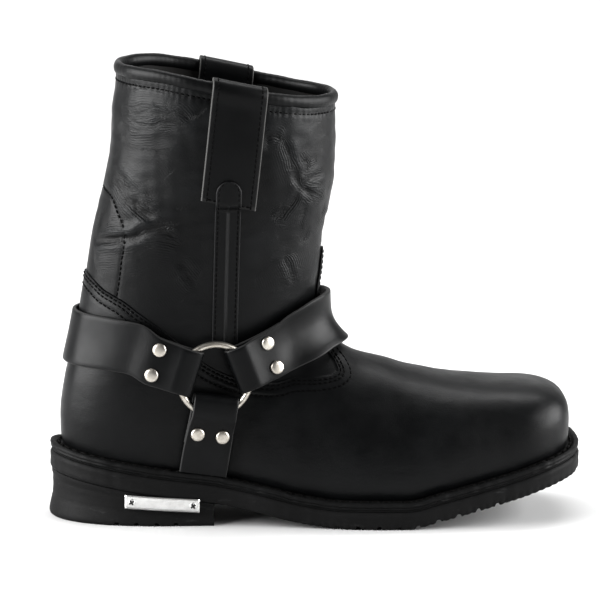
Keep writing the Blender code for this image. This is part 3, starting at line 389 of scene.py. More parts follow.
def settle(point, level, flat=False, rounds=8):
    """Points moved along the gradient onto a level of the field, in their own plane if flat."""
    point = np.array(point, float)
    for _ in range(rounds):
        slope = outward(point)
        if flat:
            slope[..., 2] = 0.0
        size = np.maximum((slope ** 2).sum(-1), 1e-6)
        move = (last(point) - level) / size
        limit = LONGEST_MOVE / np.sqrt(size)
        point = point - slope * np.clip(move, -limit, limit)[..., None]
    return point


def reach(origin, direction, level, far=FAR_REACH):
    """Points where rays from inside the last cross a level of its field."""
    near_end = np.zeros(origin.shape[:-1])
    far_end = np.full(origin.shape[:-1], far)
    for _ in range(30):
        middle = (near_end + far_end) / 2.0
        inside = last(origin + direction * middle[..., None]) < level
        near_end = np.where(inside, middle, near_end)
        far_end = np.where(inside, far_end, middle)
    return origin + direction * near_end[..., None]


def back_axis(height):
    """X of the axis of the fan round the heel, which leans with the shaft above the counter."""
    return HEEL_AXIS + np.maximum(0.0, shaft_back(height - SEAT_LEVEL) - shaft_back(UPPER_HEIGHT / 2.0))


def skin(around, height, level, side):
    """Point of a level of the field: around runs from -1 at the heel back through 0 and 1, the two
    axes, to 2 at the front, height is over the floor, side is OUTER or INNER."""
    around, height, level = np.broadcast_arrays(*np.atleast_1d(around, height, level))
    behind = np.clip(-around, 0.0, 1.0)
    before = np.clip(around - 1.0, 0.0, 1.0)
    along = np.clip(around, 0.0, 1.0)
    angle = math.pi / 2 * (1.0 + behind - before)
    start = back_axis(height)
    origin = np.stack([start + (FRONT_AXIS - start) * along, 0.0 * along, height], -1)
    direction = np.stack([np.cos(angle), side * np.sin(angle), 0.0 * angle], -1)
    return reach(origin, direction, level)


def around_at(x, height):
    """Place round the boot of a point on its flank at x."""
    start = back_axis(height)
    return (x - start) / (FRONT_AXIS - start)


def over_seat(share):
    """Height over the floor of a share of the upper height."""
    return SEAT_LEVEL + share * UPPER_HEIGHT


def evened(points, values, count):
    """Values that belong to a line of points, read at even distances along it."""
    steps = np.linalg.norm(np.diff(points, axis=0), axis=1)
    run = np.concatenate([[0.0], np.cumsum(steps)])
    at = np.linspace(0.0, run[-1], count)
    return np.stack([np.interp(at, run, column) for column in values.T], -1)


def even(points, count):
    """Points at even distances along a line of points."""
    return evened(points, points, count)


def closed_ring(half):
    """Ring of points from the outer and the inner half of a line from heel back to front."""
    outer, inner = half(OUTER), half(INNER)
    return np.concatenate([outer, inner[-2:0:-1]])


def grown(outline, reach_out):
    """A closed outline seen from above, moved outwards by a distance."""
    ahead = np.roll(outline, -1, axis=0) - np.roll(outline, 1, axis=0)
    normal = np.stack([-ahead[:, 1], ahead[:, 0]], -1)
    normal /= np.linalg.norm(normal, axis=1)[:, None]
    middle = outline[:, :2].mean(0)
    if ((outline[:, :2] - middle) * normal).sum() < 0.0:
        normal = -normal
    moved = outline.copy()
    moved[:, :2] += normal * np.broadcast_to(reach_out, len(outline))[:, None]
    return moved


def seam_places(level, side, count):
    """Upper edge of counter and vamp on one side: places round the boot and heights."""
    around, share = np.array(SEAM_LINE).T
    index = np.arange(len(around))
    fine = np.linspace(0.0, index[-1], 240)
    places = np.stack([Curve(index, around)(fine), over_seat(Curve(index, share)(fine))], -1)
    return evened(skin(places[:, 0], places[:, 1], level, side), places, count)


def collar_places(level, drop, side, count):
    """The collar's line on one side, a distance under the top of the roll."""
    around = np.linspace(-1.0, 2.0, 181)
    points = skin(around, over_seat(1.0), level, side)
    for _ in range(3):
        points = skin(around, collar_top(points[:, 0]) - drop, level, side)
    return evened(points, np.stack([around, points[:, 2]], -1), count)


def relaxed(rings, fixed, level, passes=14):
    """Rings evened out along the skin, with the first, the last and the fixed ones left in place."""
    rings = rings.copy()
    for _ in range(passes):
        for k in range(1, len(rings) - 1):
            if k in fixed:
                continue
            around = (np.roll(rings[k], 1, axis=0) + np.roll(rings[k], -1, axis=0)) / 2.0
            rings[k] = rings[k] * 0.4 + (rings[k - 1] + rings[k + 1]) * 0.2 + around * 0.2
            rings[k] = settle(rings[k], level, rounds=2)
    return rings


def inset(points, distance):
    """Points moved inwards by a true distance."""
    slope = outward(points)
    return points - slope / np.linalg.norm(slope, axis=-1)[..., None] * distance


def between(first, second, count):
    """Rings between two others, without them."""
    shares = np.linspace(0.0, 1.0, count + 2)[1:-1]
    return [first + (second - first) * share for share in shares]


class Band:
    """A strap's path: places of its two edges round the boot, from the middle of the ring out."""

    def __init__(self, direction, table, half_width, turned=1.0, shift=0.0):
        share_x, share_z = RING_PLACE
        self.ring_at = np.array([share_x * FOOT_LENGTH, over_seat(share_z)])
        angle = math.radians(direction)
        self.along = np.array([math.cos(angle), math.sin(angle)])
        self.across = np.array([-self.along[1], self.along[0]]) * turned
        self.centre = self.ring_at + self.across * shift
        self.half_width = half_width
        near = np.arange(0.0, STRAIGHT_RUN if table else LOW_RUN, NEAR_STEP)
        rows = []
        for run in near:
            for_edge = []
            for edge in (1.0, -1.0):
                x, z = self.centre + self.along * run + self.across * edge * self.half(run)
                for_edge += [float(around_at(x, z)), z]
            rows.append(for_edge + [0.0])
        for top_place, top_share, low_place, low_share, stand in table:
            rows.append([top_place, over_seat(top_share), low_place, over_seat(low_share),
                         stand * STRAP_THICK])
        rows = np.array(rows)
        middle = skin((rows[:, 0] + rows[:, 2]) / 2, (rows[:, 1] + rows[:, 3]) / 2, OVERLAY, OUTER)
        run = np.concatenate([[0.0], np.cumsum(np.linalg.norm(np.diff(middle, axis=0), axis=1))])
        run[:len(near)] = near
        self.length = run[-1]
        self.curves = [Curve(run, rows[:, i]) for i in range(5)]

    def half(self, run):
        """Half the width, a little less beside the ring."""
        past = ease(run, RING_OUTER * 0.4, RING_OUTER * 0.9)
        return self.half_width * (FOLD_NARROW + (1.0 - FOLD_NARROW) * past)

    def place(self, run, share):
        """Place round the boot and height, share 1 at the top edge and -1 at the bottom edge."""
        top_place, top, low_place, low = (curve(run) for curve in self.curves[:4])
        weight = (share + 1.0) / 2.0
        return low_place + (top_place - low_place) * weight, low + (top - low) * weight

    def point(self, run, share, level, side):
        """Point of the band at a level over the overlay: flat beside the ring, then on the skin."""
        run, share, level = np.broadcast_arrays(*np.atleast_1d(run, share, level))
        place, height = self.place(np.maximum(run, 0.0), share)
        on_skin = skin(place, height, OVERLAY + level + self.curves[4](run), side)
        origin, first, second, normal = ring_plane(side)
        aside = (share * self.half(run))[..., None] * self.across
        offset = self.centre + run[..., None] * self.along + aside - self.ring_at
        flat = origin + offset[..., :1] * first + offset[..., 1:] * second + level[..., None] * normal
        weight = ease(run, RING_OUTER / 2.0, RING_OUTER / 2.0 + STRAP_WIDTH)[..., None]
        return flat * (1.0 - weight) + on_skin * weight


@lru_cache
def ring_plane(side):
    """Plane that the ring lies in: the point over its middle where the plane clears the overlay, the
    directions to the toe and up in it, and its normal."""
    share_x, share_z = RING_PLACE
    turns = np.linspace(0.0, 2.0 * math.pi, 12, endpoint=False)
    radius = np.concatenate([[0.0], np.full(12, RING_OUTER / 4.0), np.full(12, RING_OUTER / 2.0)])
    turns = np.concatenate([[0.0], turns, turns])
    xs = share_x * FOOT_LENGTH + radius * np.cos(turns)
    zs = over_seat(share_z) + radius * np.sin(turns)
    patch = skin(around_at(xs, zs), zs, OVERLAY, side)
    slopes = outward(patch)
    normal = (slopes / np.linalg.norm(slopes, axis=1)[:, None]).mean(0)
    normal /= np.linalg.norm(normal)
    clear = ((patch - patch[0]) @ normal).max()
    first = np.array([1.0, -normal[0] / normal[1], 0.0])
    second = np.array([0.0, -normal[2] / normal[1], 1.0])
    return patch[0] + normal * clear, first, second, normal


def strap_levels():
    """Heights of the layers over the overlay: lower layer, wire and upper layer, at their middles."""
    lower = STRAP_SEAT + STRAP_THICK / 2.0
    wire = lower + STRAP_THICK / 2.0 + WIRE_GAP + RING_WIRE / 2.0
    upper_layer = wire + RING_WIRE / 2.0 + WIRE_GAP + STRAP_THICK / 2.0
    return lower, wire, upper_layer


def fold_path(fold, back):
    """Middle line of a strap's end in its own section: from the end of the layer below, round the
    ring's wire and back out over it, as distances from the ring's middle and heights."""
    lower, wire, high = strap_levels()
    beside = lower + STRAP_THICK + WIRE_GAP
    bend = (high - lower) / 2.0
    turn_at = fold + bend + FOLD_THICK / 2.0
    path = [(back, lower), (turn_at, lower)]
    for turn in np.linspace(0.0, math.pi, 7)[1:-1]:
        path.append((turn_at - bend * math.sin(turn), wire - bend * math.cos(turn)))
    path += [(turn_at, high), (RING_OUTER / 2.0 + WIRE_GAP, high)]
    return path + [(RING_OUTER / 2.0 + RING_WIRE * 1.5, beside), (back + WIRE_GAP, beside)]


def dense(path, step):
    """A path with points added so that none of its steps is longer than a length."""
    made = [path[0]]
    for start, end in zip(path, path[1:]):
        count = max(1, math.ceil(math.hypot(end[0] - start[0], end[1] - start[1]) / step))
        for i in range(1, count + 1):
            made.append(tuple(a + (b - a) * i / count for a, b in zip(start, end)))
    return made


def pull_path():
    """Middle line of a pull strap in the section of the wall: up the outside, over the roll, down
    the inside, as drops from the top of the roll and levels of the field."""
    out = PULL_SEAT + PULL_THICK / 2.0
    over_roll = -WALL / 2.0 + ROLL_THICK / 2.0 + CURVED_GAP + PULL_THICK / 2.0
    middle = -WALL / 2.0
    top_bend = over_roll - middle
    inside = -WALL - PULL_SEAT - PULL_THICK / 2.0
    over_inside = middle - top_bend
    rise = PULL_LIFT - top_bend + CURVED_GAP
    path = [(PULL_LENGTH, out), (PULL_LENGTH * 0.55, out), (ROLL_HEIGHT + PULL_BEND, out)]
    path.append((ROLL_HEIGHT * 0.6, over_roll))
    for turn in np.linspace(0.0, math.pi, 7):
        path.append((-rise - top_bend * math.sin(turn), middle + top_bend * math.cos(turn)))
    path += [(ROLL_HEIGHT * 0.6, over_inside), (ROLL_HEIGHT + PULL_BEND, inside)]
    path += [(PULL_INSIDE * 0.6, inside), (PULL_INSIDE, inside)]
    return path


# Steps of the detailed pieces
COLUMNS = 420
SHAFT_FINE = 128
FOOT_FINE = 62
SOLE_COLUMNS = 420
PATH_FINE = 0.0016
STRAP_FINE = 0.0022
HEIGHT_FINE = 0.0015

# Stitches: length, pitch, radius of the thread and how far its middle stands over its ends
SEAM_GAUGE = (0.0024, 0.0031, 0.00042, 0.0001)
WELT_GAUGE = (0.0050, 0.0064, 0.00085, 0.0005)
# Rows of stitches: distances below the seam's edge, and under the collar's binding
SEAM_ROWS = (0.0014, 0.0035, 0.0076)
COLLAR_ROW = 0.0034
STITCH_SINK = 0.00012
ROW_SINK = 0.0001

# Relief of the upper: the stitches' channel, the soft swells and the collar's puckers
CHANNEL_DEPTH = 0.00042
CHANNEL_HALF = 0.0010
BROAD_SWELL = 0.00030
BROAD_SIZE = 0.030
FINE_SWELL = 0.00012
FINE_SIZE = 0.011
PUCKER = 0.00013
PUCKER_DROP = 0.003
NO_CREASE = 0.030
DOT_STEP = 0.0004
ROLL_OVERLAP = 0.0009

# Rounding of the straps' edges, and the shares of their half width that a cut edge fades in over
STRAP_ROUND = 0.0011
PULL_ROUND = 0.0009
TRIM_ROUND = 0.0007
STRAP_CUT = (0.90, 0.995)
PULL_CUT = (0.925, 0.975)
TAPE_CUT = (0.90, 0.99)
PULL_ROW_SHARE = 0.80
TAPE_ROW_IN = 0.0016
TONGUE_ROW_IN = 0.0018
CORD_HEIGHT = 0.0009
CORD_HALF = 0.00062
TAPE_SWELL = 0.0007

# Welt: its stitched channel as distances out of the last's foot and drops from its top, and the ribs
# under its rounded lip as distances in from its edge and drops
WELT_CHANNEL = [(-0.0006, 0.0), (0.0004, 0.0005), (0.0010, 0.0011), (0.0026, 0.0012), (0.0034, 0.0007),
                (0.0041, 0.0001)]
WELT_RIBS = [(0.0001, 0.0026), (0.0007, 0.0030), (0.0005, 0.0035), (0.0003, 0.0040), (0.0007, 0.0045)]
WELT_LIP = 0.0021
WELT_FOOT = 0.0049
WELT_ROW = (0.0019, 0.0007)

# Tread and edges of the sole
TREAD_START = 0.53
GROOVE_WALL = 0.0005
TREAD_SHARES = (1.0, 1.0, 0.9, 0.35)
NOTCH_PITCH = 0.0042
NOTCH_DEPTH = 0.0005
SOLE_EDGE = [(0.0018, 0.0002), (0.0009, 0.0), (0.0003, 0.0004), (0.0, 0.0012)]

# Heel block: lowest rings as distances out of the sole's edge, heights and shares of the tread's depth
HEEL_EDGE = EDGE_ROUND * 0.3
HEEL_RINGS = [(-0.0014, 0.0001, 1.0), (-0.0005, 0.0001, 1.0), (0.0001, 0.0006, 0.9),
              (HEEL_EDGE, 0.0016, 0.4)]
HEEL_BASE = 0.0028
# Grooves between its layers: depth, share of the height and width as a share of the height
HEEL_LAYERS = [(0.0006, 0.80, 0.035), (0.00025, 0.36, 0.03)]

# Badge plate's raised rim and the screws' slots
PLATE_FLOOR = 0.72
RIM_PLACE = 0.0006
RIM_WIDTH = 0.0004
SCREW_SHARE = 0.86
SLOT_SHARES = (0.78, 0.24)
SLOT_DEPTHS = (0.00030, 0.00080)
SLOT_TURN = 0.6

# Camera: degrees from the side, upwards and of roll, and metres
CAMERA_AZIMUTH = -6.0
CAMERA_ELEVATION = 10.9
CAMERA_ROLL = 1.0
CAMERA_DISTANCE = 2.5
CAMERA_TARGET = (-0.0109, 0.0, 0.1269)
CAMERA_LENS = 254.6
CAMERA_SENSOR = 36.0

# Studio: paper from front to back, its round corner, and where its shade starts and ends in front
PAPER_FRONT = -4.0
PAPER_BACK = 1.6
PAPER_ROUND = 1.2
PAPER_TOP = 4.5
PAPER_HALF = 6.0
SHADE_FROM = (-1.10, 0.30)
SHADE_TO = (-0.32, 0.60)
WORLD_STRENGTH = 0.12
GAMMA = 0.84
# Lights: place, aim, size and watts
LIGHTS = {
    "left_soft": ((-1.22, -0.30, 0.50), (0.0, 0.0, 0.14), (1.3, 0.95), 47.0),
    "right_soft": ((1.22, -0.28, 0.50), (0.0, 0.0, 0.14), (1.2, 0.95), 40.0),
    "top_soft": ((0.0, 0.30, 1.90), (0.0, 0.2, 0.0), (1.6, 1.2), 6.0),
    "backdrop_wash": ((0.0, 0.9, 2.6), (0.0, 2.4, 0.5), (3.0, 1.0), 105.0),
}

# Creases in the leather: depth in mm (negative for a ridge), width in mm, then places as round the
# boot and share of the upper height
CREASES = [
    (0.3, 1.5, [(-0.45, 0.88), (-0.05, 0.881), (0.07, 0.89), (0.18, 0.887), (0.25, 0.891)]),
    (0.32, 1.6, [(-0.36, 0.87), (-0.09, 0.868), (0.04, 0.872), (0.12, 0.88), (0.22, 0.878)]),
    (0.28, 1.6, [(-0.25, 0.854), (-0.01, 0.854), (0.09, 0.856), (0.16, 0.865), (0.28, 0.861)]),
    (0.22, 1.4, [(0.2, 0.911), (0.3, 0.889), (0.36, 0.867)]),
    (0.8, 2.4, [(-0.55, 0.719), (-0.17, 0.704), (-0.04, 0.674), (0.04, 0.648), (0.12, 0.627),
               (0.22, 0.611), (0.32, 0.603)]),
    (0.65, 2.2, [(-0.7, 0.706), (-0.26, 0.687), (-0.1, 0.662), (0.03, 0.638), (0.11, 0.617),
               (0.21, 0.596), (0.31, 0.584)]),
    (0.5, 2.0, [(-0.11, 0.69), (-0.02, 0.686), (0.04, 0.663), (0.08, 0.635)]),
    (0.35, 1.6, [(-0.3, 0.722), (-0.02, 0.7), (0.1, 0.655), (0.19, 0.632)]),
    (1.1, 2.3, [(-0.7, 0.54), (-0.53, 0.542), (-0.13, 0.551), (0.04, 0.557), (0.1, 0.568),
               (0.13, 0.582), (0.2, 0.589), (0.28, 0.593), (0.37, 0.584)]),
    (-0.6, 3.0, [(-0.5, 0.556), (-0.13, 0.566), (0.04, 0.573), (0.1, 0.586), (0.18, 0.603),
               (0.3, 0.606)]),
    (0.7, 1.9, [(0.05, 0.552), (0.11, 0.56), (0.18, 0.574), (0.26, 0.575), (0.34, 0.567),
               (0.39, 0.556)]),
    (0.6, 1.8, [(-0.6, 0.528), (-0.43, 0.533), (-0.15, 0.54), (0.02, 0.548)]),
    (0.35, 1.6, [(0.1, 0.548), (0.2, 0.556), (0.3, 0.553), (0.4, 0.54)]),
    (0.4, 2.4, [(0.37, 0.512), (0.42, 0.488), (0.46, 0.463), (0.51, 0.444)]),
    (0.3, 1.9, [(0.4, 0.478), (0.44, 0.454), (0.5, 0.429)]),
    (0.45, 2.2, [(0.98, 0.837), (1.03, 0.803), (1.09, 0.759), (1.18, 0.709), (1.23, 0.689)]),
    (0.35, 1.9, [(0.85, 0.834), (0.93, 0.836), (1.0, 0.823)]),
    (0.5, 1.8, [(1.2, 0.694), (1.34, 0.715), (1.54, 0.723)]),
    (0.45, 1.7, [(1.2, 0.694), (1.36, 0.676), (1.64, 0.648)]),
    (0.55, 2.0, [(1.2, 0.694), (1.13, 0.656), (1.02, 0.624), (0.94, 0.601)]),
    (0.42, 1.8, [(1.08, 0.74), (1.16, 0.705), (1.31, 0.672), (1.45, 0.646)]),
    (0.4, 1.7, [(1.05, 0.648), (0.98, 0.628), (0.92, 0.618)]),
    (0.28, 1.7, [(1.42, 0.585), (1.34, 0.558), (1.26, 0.536)]),
    (0.3, 2.0, [(1.04, 0.521), (1.12, 0.485), (1.18, 0.454), (1.22, 0.424)]),
    (0.28, 1.7, [(1.25, 0.775), (1.24, 0.742), (1.22, 0.713)]),
    (0.35, 2.0, [(1.6, 0.62), (1.75, 0.6), (2.0, 0.592)]),
    (0.3, 2.0, [(1.7, 0.52), (1.85, 0.508), (2.0, 0.505)]),
    (0.22, 1.3, [(-0.2, 0.842), (-0.05, 0.838), (0.06, 0.842), (0.14, 0.851)]),
    (0.2, 1.2, [(-0.3, 0.893), (-0.1, 0.895), (0.02, 0.902), (0.12, 0.901)]),
    (0.24, 1.3, [(1.26, 0.7), (1.38, 0.696), (1.52, 0.69)]),
    (0.22, 1.3, [(1.24, 0.73), (1.34, 0.742), (1.44, 0.752)]),
    (0.2, 1.3, [(1.15, 0.79), (1.2, 0.765), (1.3, 0.748)]),
    (0.22, 1.4, [(1.3, 0.64), (1.26, 0.61), (1.24, 0.58)]),
]
# Stitch line of the rear stay: round the boot, share of the upper height
STAY_LINE = [(-0.93, 0.672), (-0.354, 0.658), (-0.102, 0.614), (0.006, 0.586), (0.029, 0.561),
             (0.039, 0.523), (0.031, 0.474), (0.017, 0.421), (0.002, 0.385)]


def moved():
    """How far the frame lies from the place where the pieces are made."""
    outline = sole_outline_plain(np.linspace(HEEL_AXIS, TOE_AXIS, SOLE_STATIONS), SEAT, SOLE_FAN)
    ring = grown(outline, -WELT_UNDER - CURVED_GAP)
    ring[:, 2] = underside(ring[:, 0]) + OUTSOLE + SEAT
    low, high = (np.array(corner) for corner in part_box("insole"))
    own_low, own_high = ring.min(0), ring.max(0)
    shift = (low + high - own_low - own_high) / 2.0
    shift[2] = low[2] - own_low[2]
    return shift


def footprint_half(side, stations, level, lift, fan):
    """Half the outline of the last where it meets the sole, from heel back to toe."""
    fans = np.linspace(0.0, math.pi / 2, fan, endpoint=False)
    rows = [(HEEL_AXIS, math.pi - turn) for turn in fans]
    rows += [(x, math.pi / 2) for x in stations]
    rows += [(TOE_AXIS, math.pi / 2 - turn) for turn in fans[1:]] + [(TOE_AXIS, 0.0)]
    starts, turns = np.array(rows).T
    swings = np.where(starts > FRONT_AXIS, ridge_swing(starts), 0.0)
    direction = np.stack([np.cos(turns), side * np.sin(turns), 0.0 * turns], -1)
    heights = sole_top(starts) + lift
    for _ in range(4):
        found = reach(np.stack([starts, swings, heights], -1), direction, level)
        heights = sole_top(found[:, 0]) + lift
    found[:, 2] = heights
    return found


def sole_outline_plain(stations, lift, fan):
    """Outline of the last at the sole, at the given stations."""
    return closed_ring(lambda side: footprint_half(side, stations, OVERLAY, lift, fan))


@lru_cache
def sole_outline(count):
    """Outline of the last at the sole, in even steps."""
    stations = np.linspace(HEEL_AXIS, TOE_AXIS, 120)
    return closed_ring(lambda side: even(footprint_half(side, stations, OVERLAY, SEAT, 40), count // 2 + 1))


SHIFT = moved()


def mesh_piece(name, points, faces, finish, node=None, slot=None, smooth=True, sharp=None):
    """A piece of the scene from points in the last's own place, riding on the frame."""
    mesh = bpy.data.meshes.new(name)
    points = np.asarray(points, float) + SHIFT
    mesh.from_pydata(points.tolist(), [], faces)
    mesh.materials.append(finish)
    if smooth:
        mesh.shade_smooth()
        if sharp:
            mesh.set_sharp_from_angle(angle=math.radians(sharp))
    made = bpy.data.objects.new(name, mesh)
    bpy.context.scene.collection.objects.link(made)
    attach(made, "root")
    if node:
        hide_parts(node)
    return made


def sheet_faces(rows, count, wrap_rows=False, wrap_columns=True, base=0):
    """Quads of a grid of points."""
    faces = []
    for row in range(rows if wrap_rows else rows - 1):
        low = base + row * count
        high = base + (row + 1) % rows * count
        for i in range(count if wrap_columns else count - 1):
            j = (i + 1) % count
            faces.append((low + i, low + j, high + j, high + i))
    return faces


def outward_faces(points, faces):
    """The faces, turned over if the body that they close would be inside out."""
    points = np.asarray(points, float)
    middle = points.mean(0)
    quads = np.array([face[:3] for face in faces])
    a, b, c = (points[quads[:, i]] - middle for i in range(3))
    volume = np.einsum("ij,ij->i", a, np.cross(b, c)).sum()
    return [face[::-1] for face in faces] if volume < 0.0 else faces


def grid_piece(name, rings, finish, wrap_rows=False, caps=False, **facts):
    """A piece whose rings of points join along it."""
    rings = np.asarray(rings, float)
    rows, count = rings.shape[:2]
    faces = sheet_faces(rows, count, wrap_rows)
    if caps:
        faces.append(tuple(range(count))[::-1])
        faces.append(tuple(range((rows - 1) * count, rows * count)))
    points = rings.reshape(-1, 3)
    return mesh_piece(name, points, outward_faces(points, faces), finish, **facts)


def upsampled(rings, count):
    """Rings interpolated smoothly between a few, without leaving any of them out."""
    rings = np.asarray(rings, float)
    at = np.linspace(0.0, len(rings) - 1.0, count)
    i = np.clip(at.astype(int), 0, len(rings) - 2)
    t = (at - i)[:, None, None]
    before = rings[np.maximum(i - 1, 0)]
    here, after = rings[i], rings[i + 1]
    beyond = rings[np.minimum(i + 2, len(rings) - 1)]
    bend = 2.0 * before - 5.0 * here + 4.0 * after - beyond
    twist = 3.0 * here - before - 3.0 * after + beyond
    return 0.5 * (2.0 * here + (after - before) * t + bend * t ** 2 + twist * t ** 3)


def on_skin(places, level, side):
    """Points of the skin for a list of places round the boot and shares of the height."""
    places = np.asarray(places, float)
    index = np.arange(len(places))
    fine = np.linspace(0.0, index[-1], len(places) * 8)
    around, share = Curve(index, places[:, 0])(fine), Curve(index, places[:, 1])(fine)
    return skin(around, over_seat(share), level, side)


def normals_at(points):
    """Unit normals of the last's field."""
    slope = outward(points)
    return slope / np.linalg.norm(slope, axis=-1)[..., None]


def run_along(line):
    """Distance along a line of points, at each of them."""
    return np.concatenate([[0.0], np.cumsum(np.linalg.norm(np.diff(line, axis=0), axis=1))])


def distance_to(points, line):
    """Distance of each point to a line of points, and how far along the line it lies, from 0 to 1."""
    best = np.full(len(points), 9.0)
    along = np.zeros(len(points))
    run = run_along(line)
    for i in range(len(line) - 1):
        start, step = line[i], line[i + 1] - line[i]
        size = max(step @ step, 1e-12)
        t = np.clip((points - start) @ step / size, 0.0, 1.0)
        gap = np.linalg.norm(points - start - t[:, None] * step, axis=1)
        closer = gap < best
        best = np.where(closer, gap, best)
        along = np.where(closer, (run[i] + t * (run[i + 1] - run[i])) / run[-1], along)
    return best, along


def distance_to_any(points, lines):
    """Distance of each point to the nearest of several lines."""
    dots = np.concatenate([even(line, int(run_along(line)[-1] / DOT_STEP)) for line in lines])
    tree = KDTree(len(dots))
    for i, dot in enumerate(dots):
        tree.insert(dot, i)
    tree.balance()
    return np.array([tree.find(point)[2] for point in points])


def seam_edge(side, count=260):
    """The upper edge of counter and vamp on one side, on the overlay's skin."""
    at = seam_places(OVERLAY, side, count)
    return skin(at[:, 0], at[:, 1], OVERLAY, side)


@lru_cache
def stitch_lines():
    """Lines of stitches in the upper's leather, on both sides."""
    made = []
    for side in (OUTER, INNER):
        edge = seam_edge(side)
        ahead = np.gradient(edge, axis=0)
        down = np.cross(normals_at(edge), ahead)
        down *= np.where(down[:, 2] > 0.0, -1.0, 1.0)[:, None]
        # At the throat the edge runs up the instep, so below it is towards the toe
        steep = np.abs(ahead[:, 2]) > np.abs(ahead[:, 0])
        flip = steep & (down[:, 0] < 0.0) & (edge[:, 0] > FRONT_AXIS)
        down[flip] *= -1.0
        down /= np.linalg.norm(down, axis=1)[:, None]
        made += [settle(edge + down * away, OVERLAY) for away in SEAM_ROWS]
        made.append(on_skin(STAY_LINE, 0.0, side))
        collar = collar_places(0.0, ROLL_HEIGHT + COLLAR_ROW, side, 200)
        made.append(skin(collar[:, 0], collar[:, 1], 0.0, side))
    return made


def wander(points, seed, size, waves):
    """Smooth seeded swell over a set of points, from -1 to 1 or so."""
    rng = np.random.default_rng(seed)
    total = np.zeros(points.shape[:-1])
    for _ in range(waves):
        direction = rng.normal(size=3)
        direction *= 2.0 * math.pi / (size * rng.uniform(0.7, 1.5) * np.linalg.norm(direction))
        total += np.sin(points @ direction + rng.uniform(0.0, 2.0 * math.pi))
    return total / math.sqrt(waves)


def creased(points, normals):
    """Points of the upper's skin with its creases, stitch channels, puckers and soft swells, then how
    far each is lifted, how much the leather is worked there, and its distance to a crease."""
    flat = points.reshape(-1, 3)
    lift = np.zeros(len(flat))
    worked = np.zeros(len(flat))
    beside = np.full(len(flat), NO_CREASE)
    for depth, width, places in CREASES:
        wide = width / 1000.0
        for side in (OUTER, INNER):
            line = on_skin(places, 0.0, side)
            near = ((flat > line.min(0) - 8.0 * wide) & (flat < line.max(0) + 8.0 * wide)).all(1)
            gap, along = distance_to(flat[near], line)
            fade = ease(np.minimum(along, 1.0 - along) * 4.0, 0.0, 1.0)
            amount = np.exp(-(gap / wide) ** 2) * fade
            shoulder = np.exp(-((gap - 2.1 * wide) / wide) ** 2) * fade
            lift[near] -= depth / 1000.0 * (amount - 0.35 * shoulder)
            worked[near] = np.maximum(worked[near], np.exp(-(gap / (3.2 * wide)) ** 2) * fade)
            beside[near] = np.minimum(beside[near], gap / (0.3 + 0.7 * fade))
    gap = distance_to_any(flat, stitch_lines())
    lift -= CHANNEL_DEPTH * np.exp(-(gap / CHANNEL_HALF) ** 2)
    rise = (flat[:, 2] - SEAT_LEVEL) / UPPER_HEIGHT
    top = ease(rise, 0.45, 0.60) * (1.0 - ease(rise, 0.9, 1.0))
    lift += BROAD_SWELL * wander(flat, 3, BROAD_SIZE, 9) * top
    lift += FINE_SWELL * wander(flat, 5, FINE_SIZE, 12) * (0.3 + 0.7 * top)
    # Short puckers between the collar's binding and its stitches, away from the front
    drop = collar_top(flat[:, 0]) - flat[:, 2]
    near = np.exp(-((drop - ROLL_HEIGHT - PUCKER_DROP) / PUCKER_DROP) ** 2) * (flat[:, 0] < 0.175)
    round_at = np.arctan2(flat[:, 1], flat[:, 0] - 0.095)
    lift += PUCKER * near * np.sin(round_at * 92.0 + 2.0 * np.sin(round_at * 11.0))
    lifted = flat + normals.reshape(-1, 3) * lift[:, None]
    return lifted.reshape(points.shape), lift, worked, beside


def float_layer(made, name, values):
    """A named value on each point of a mesh, for its material."""
    layer = made.data.attributes.new(name, "FLOAT", "POINT")
    layer.data.foreach_set("value", np.asarray(values, np.float32).ravel())


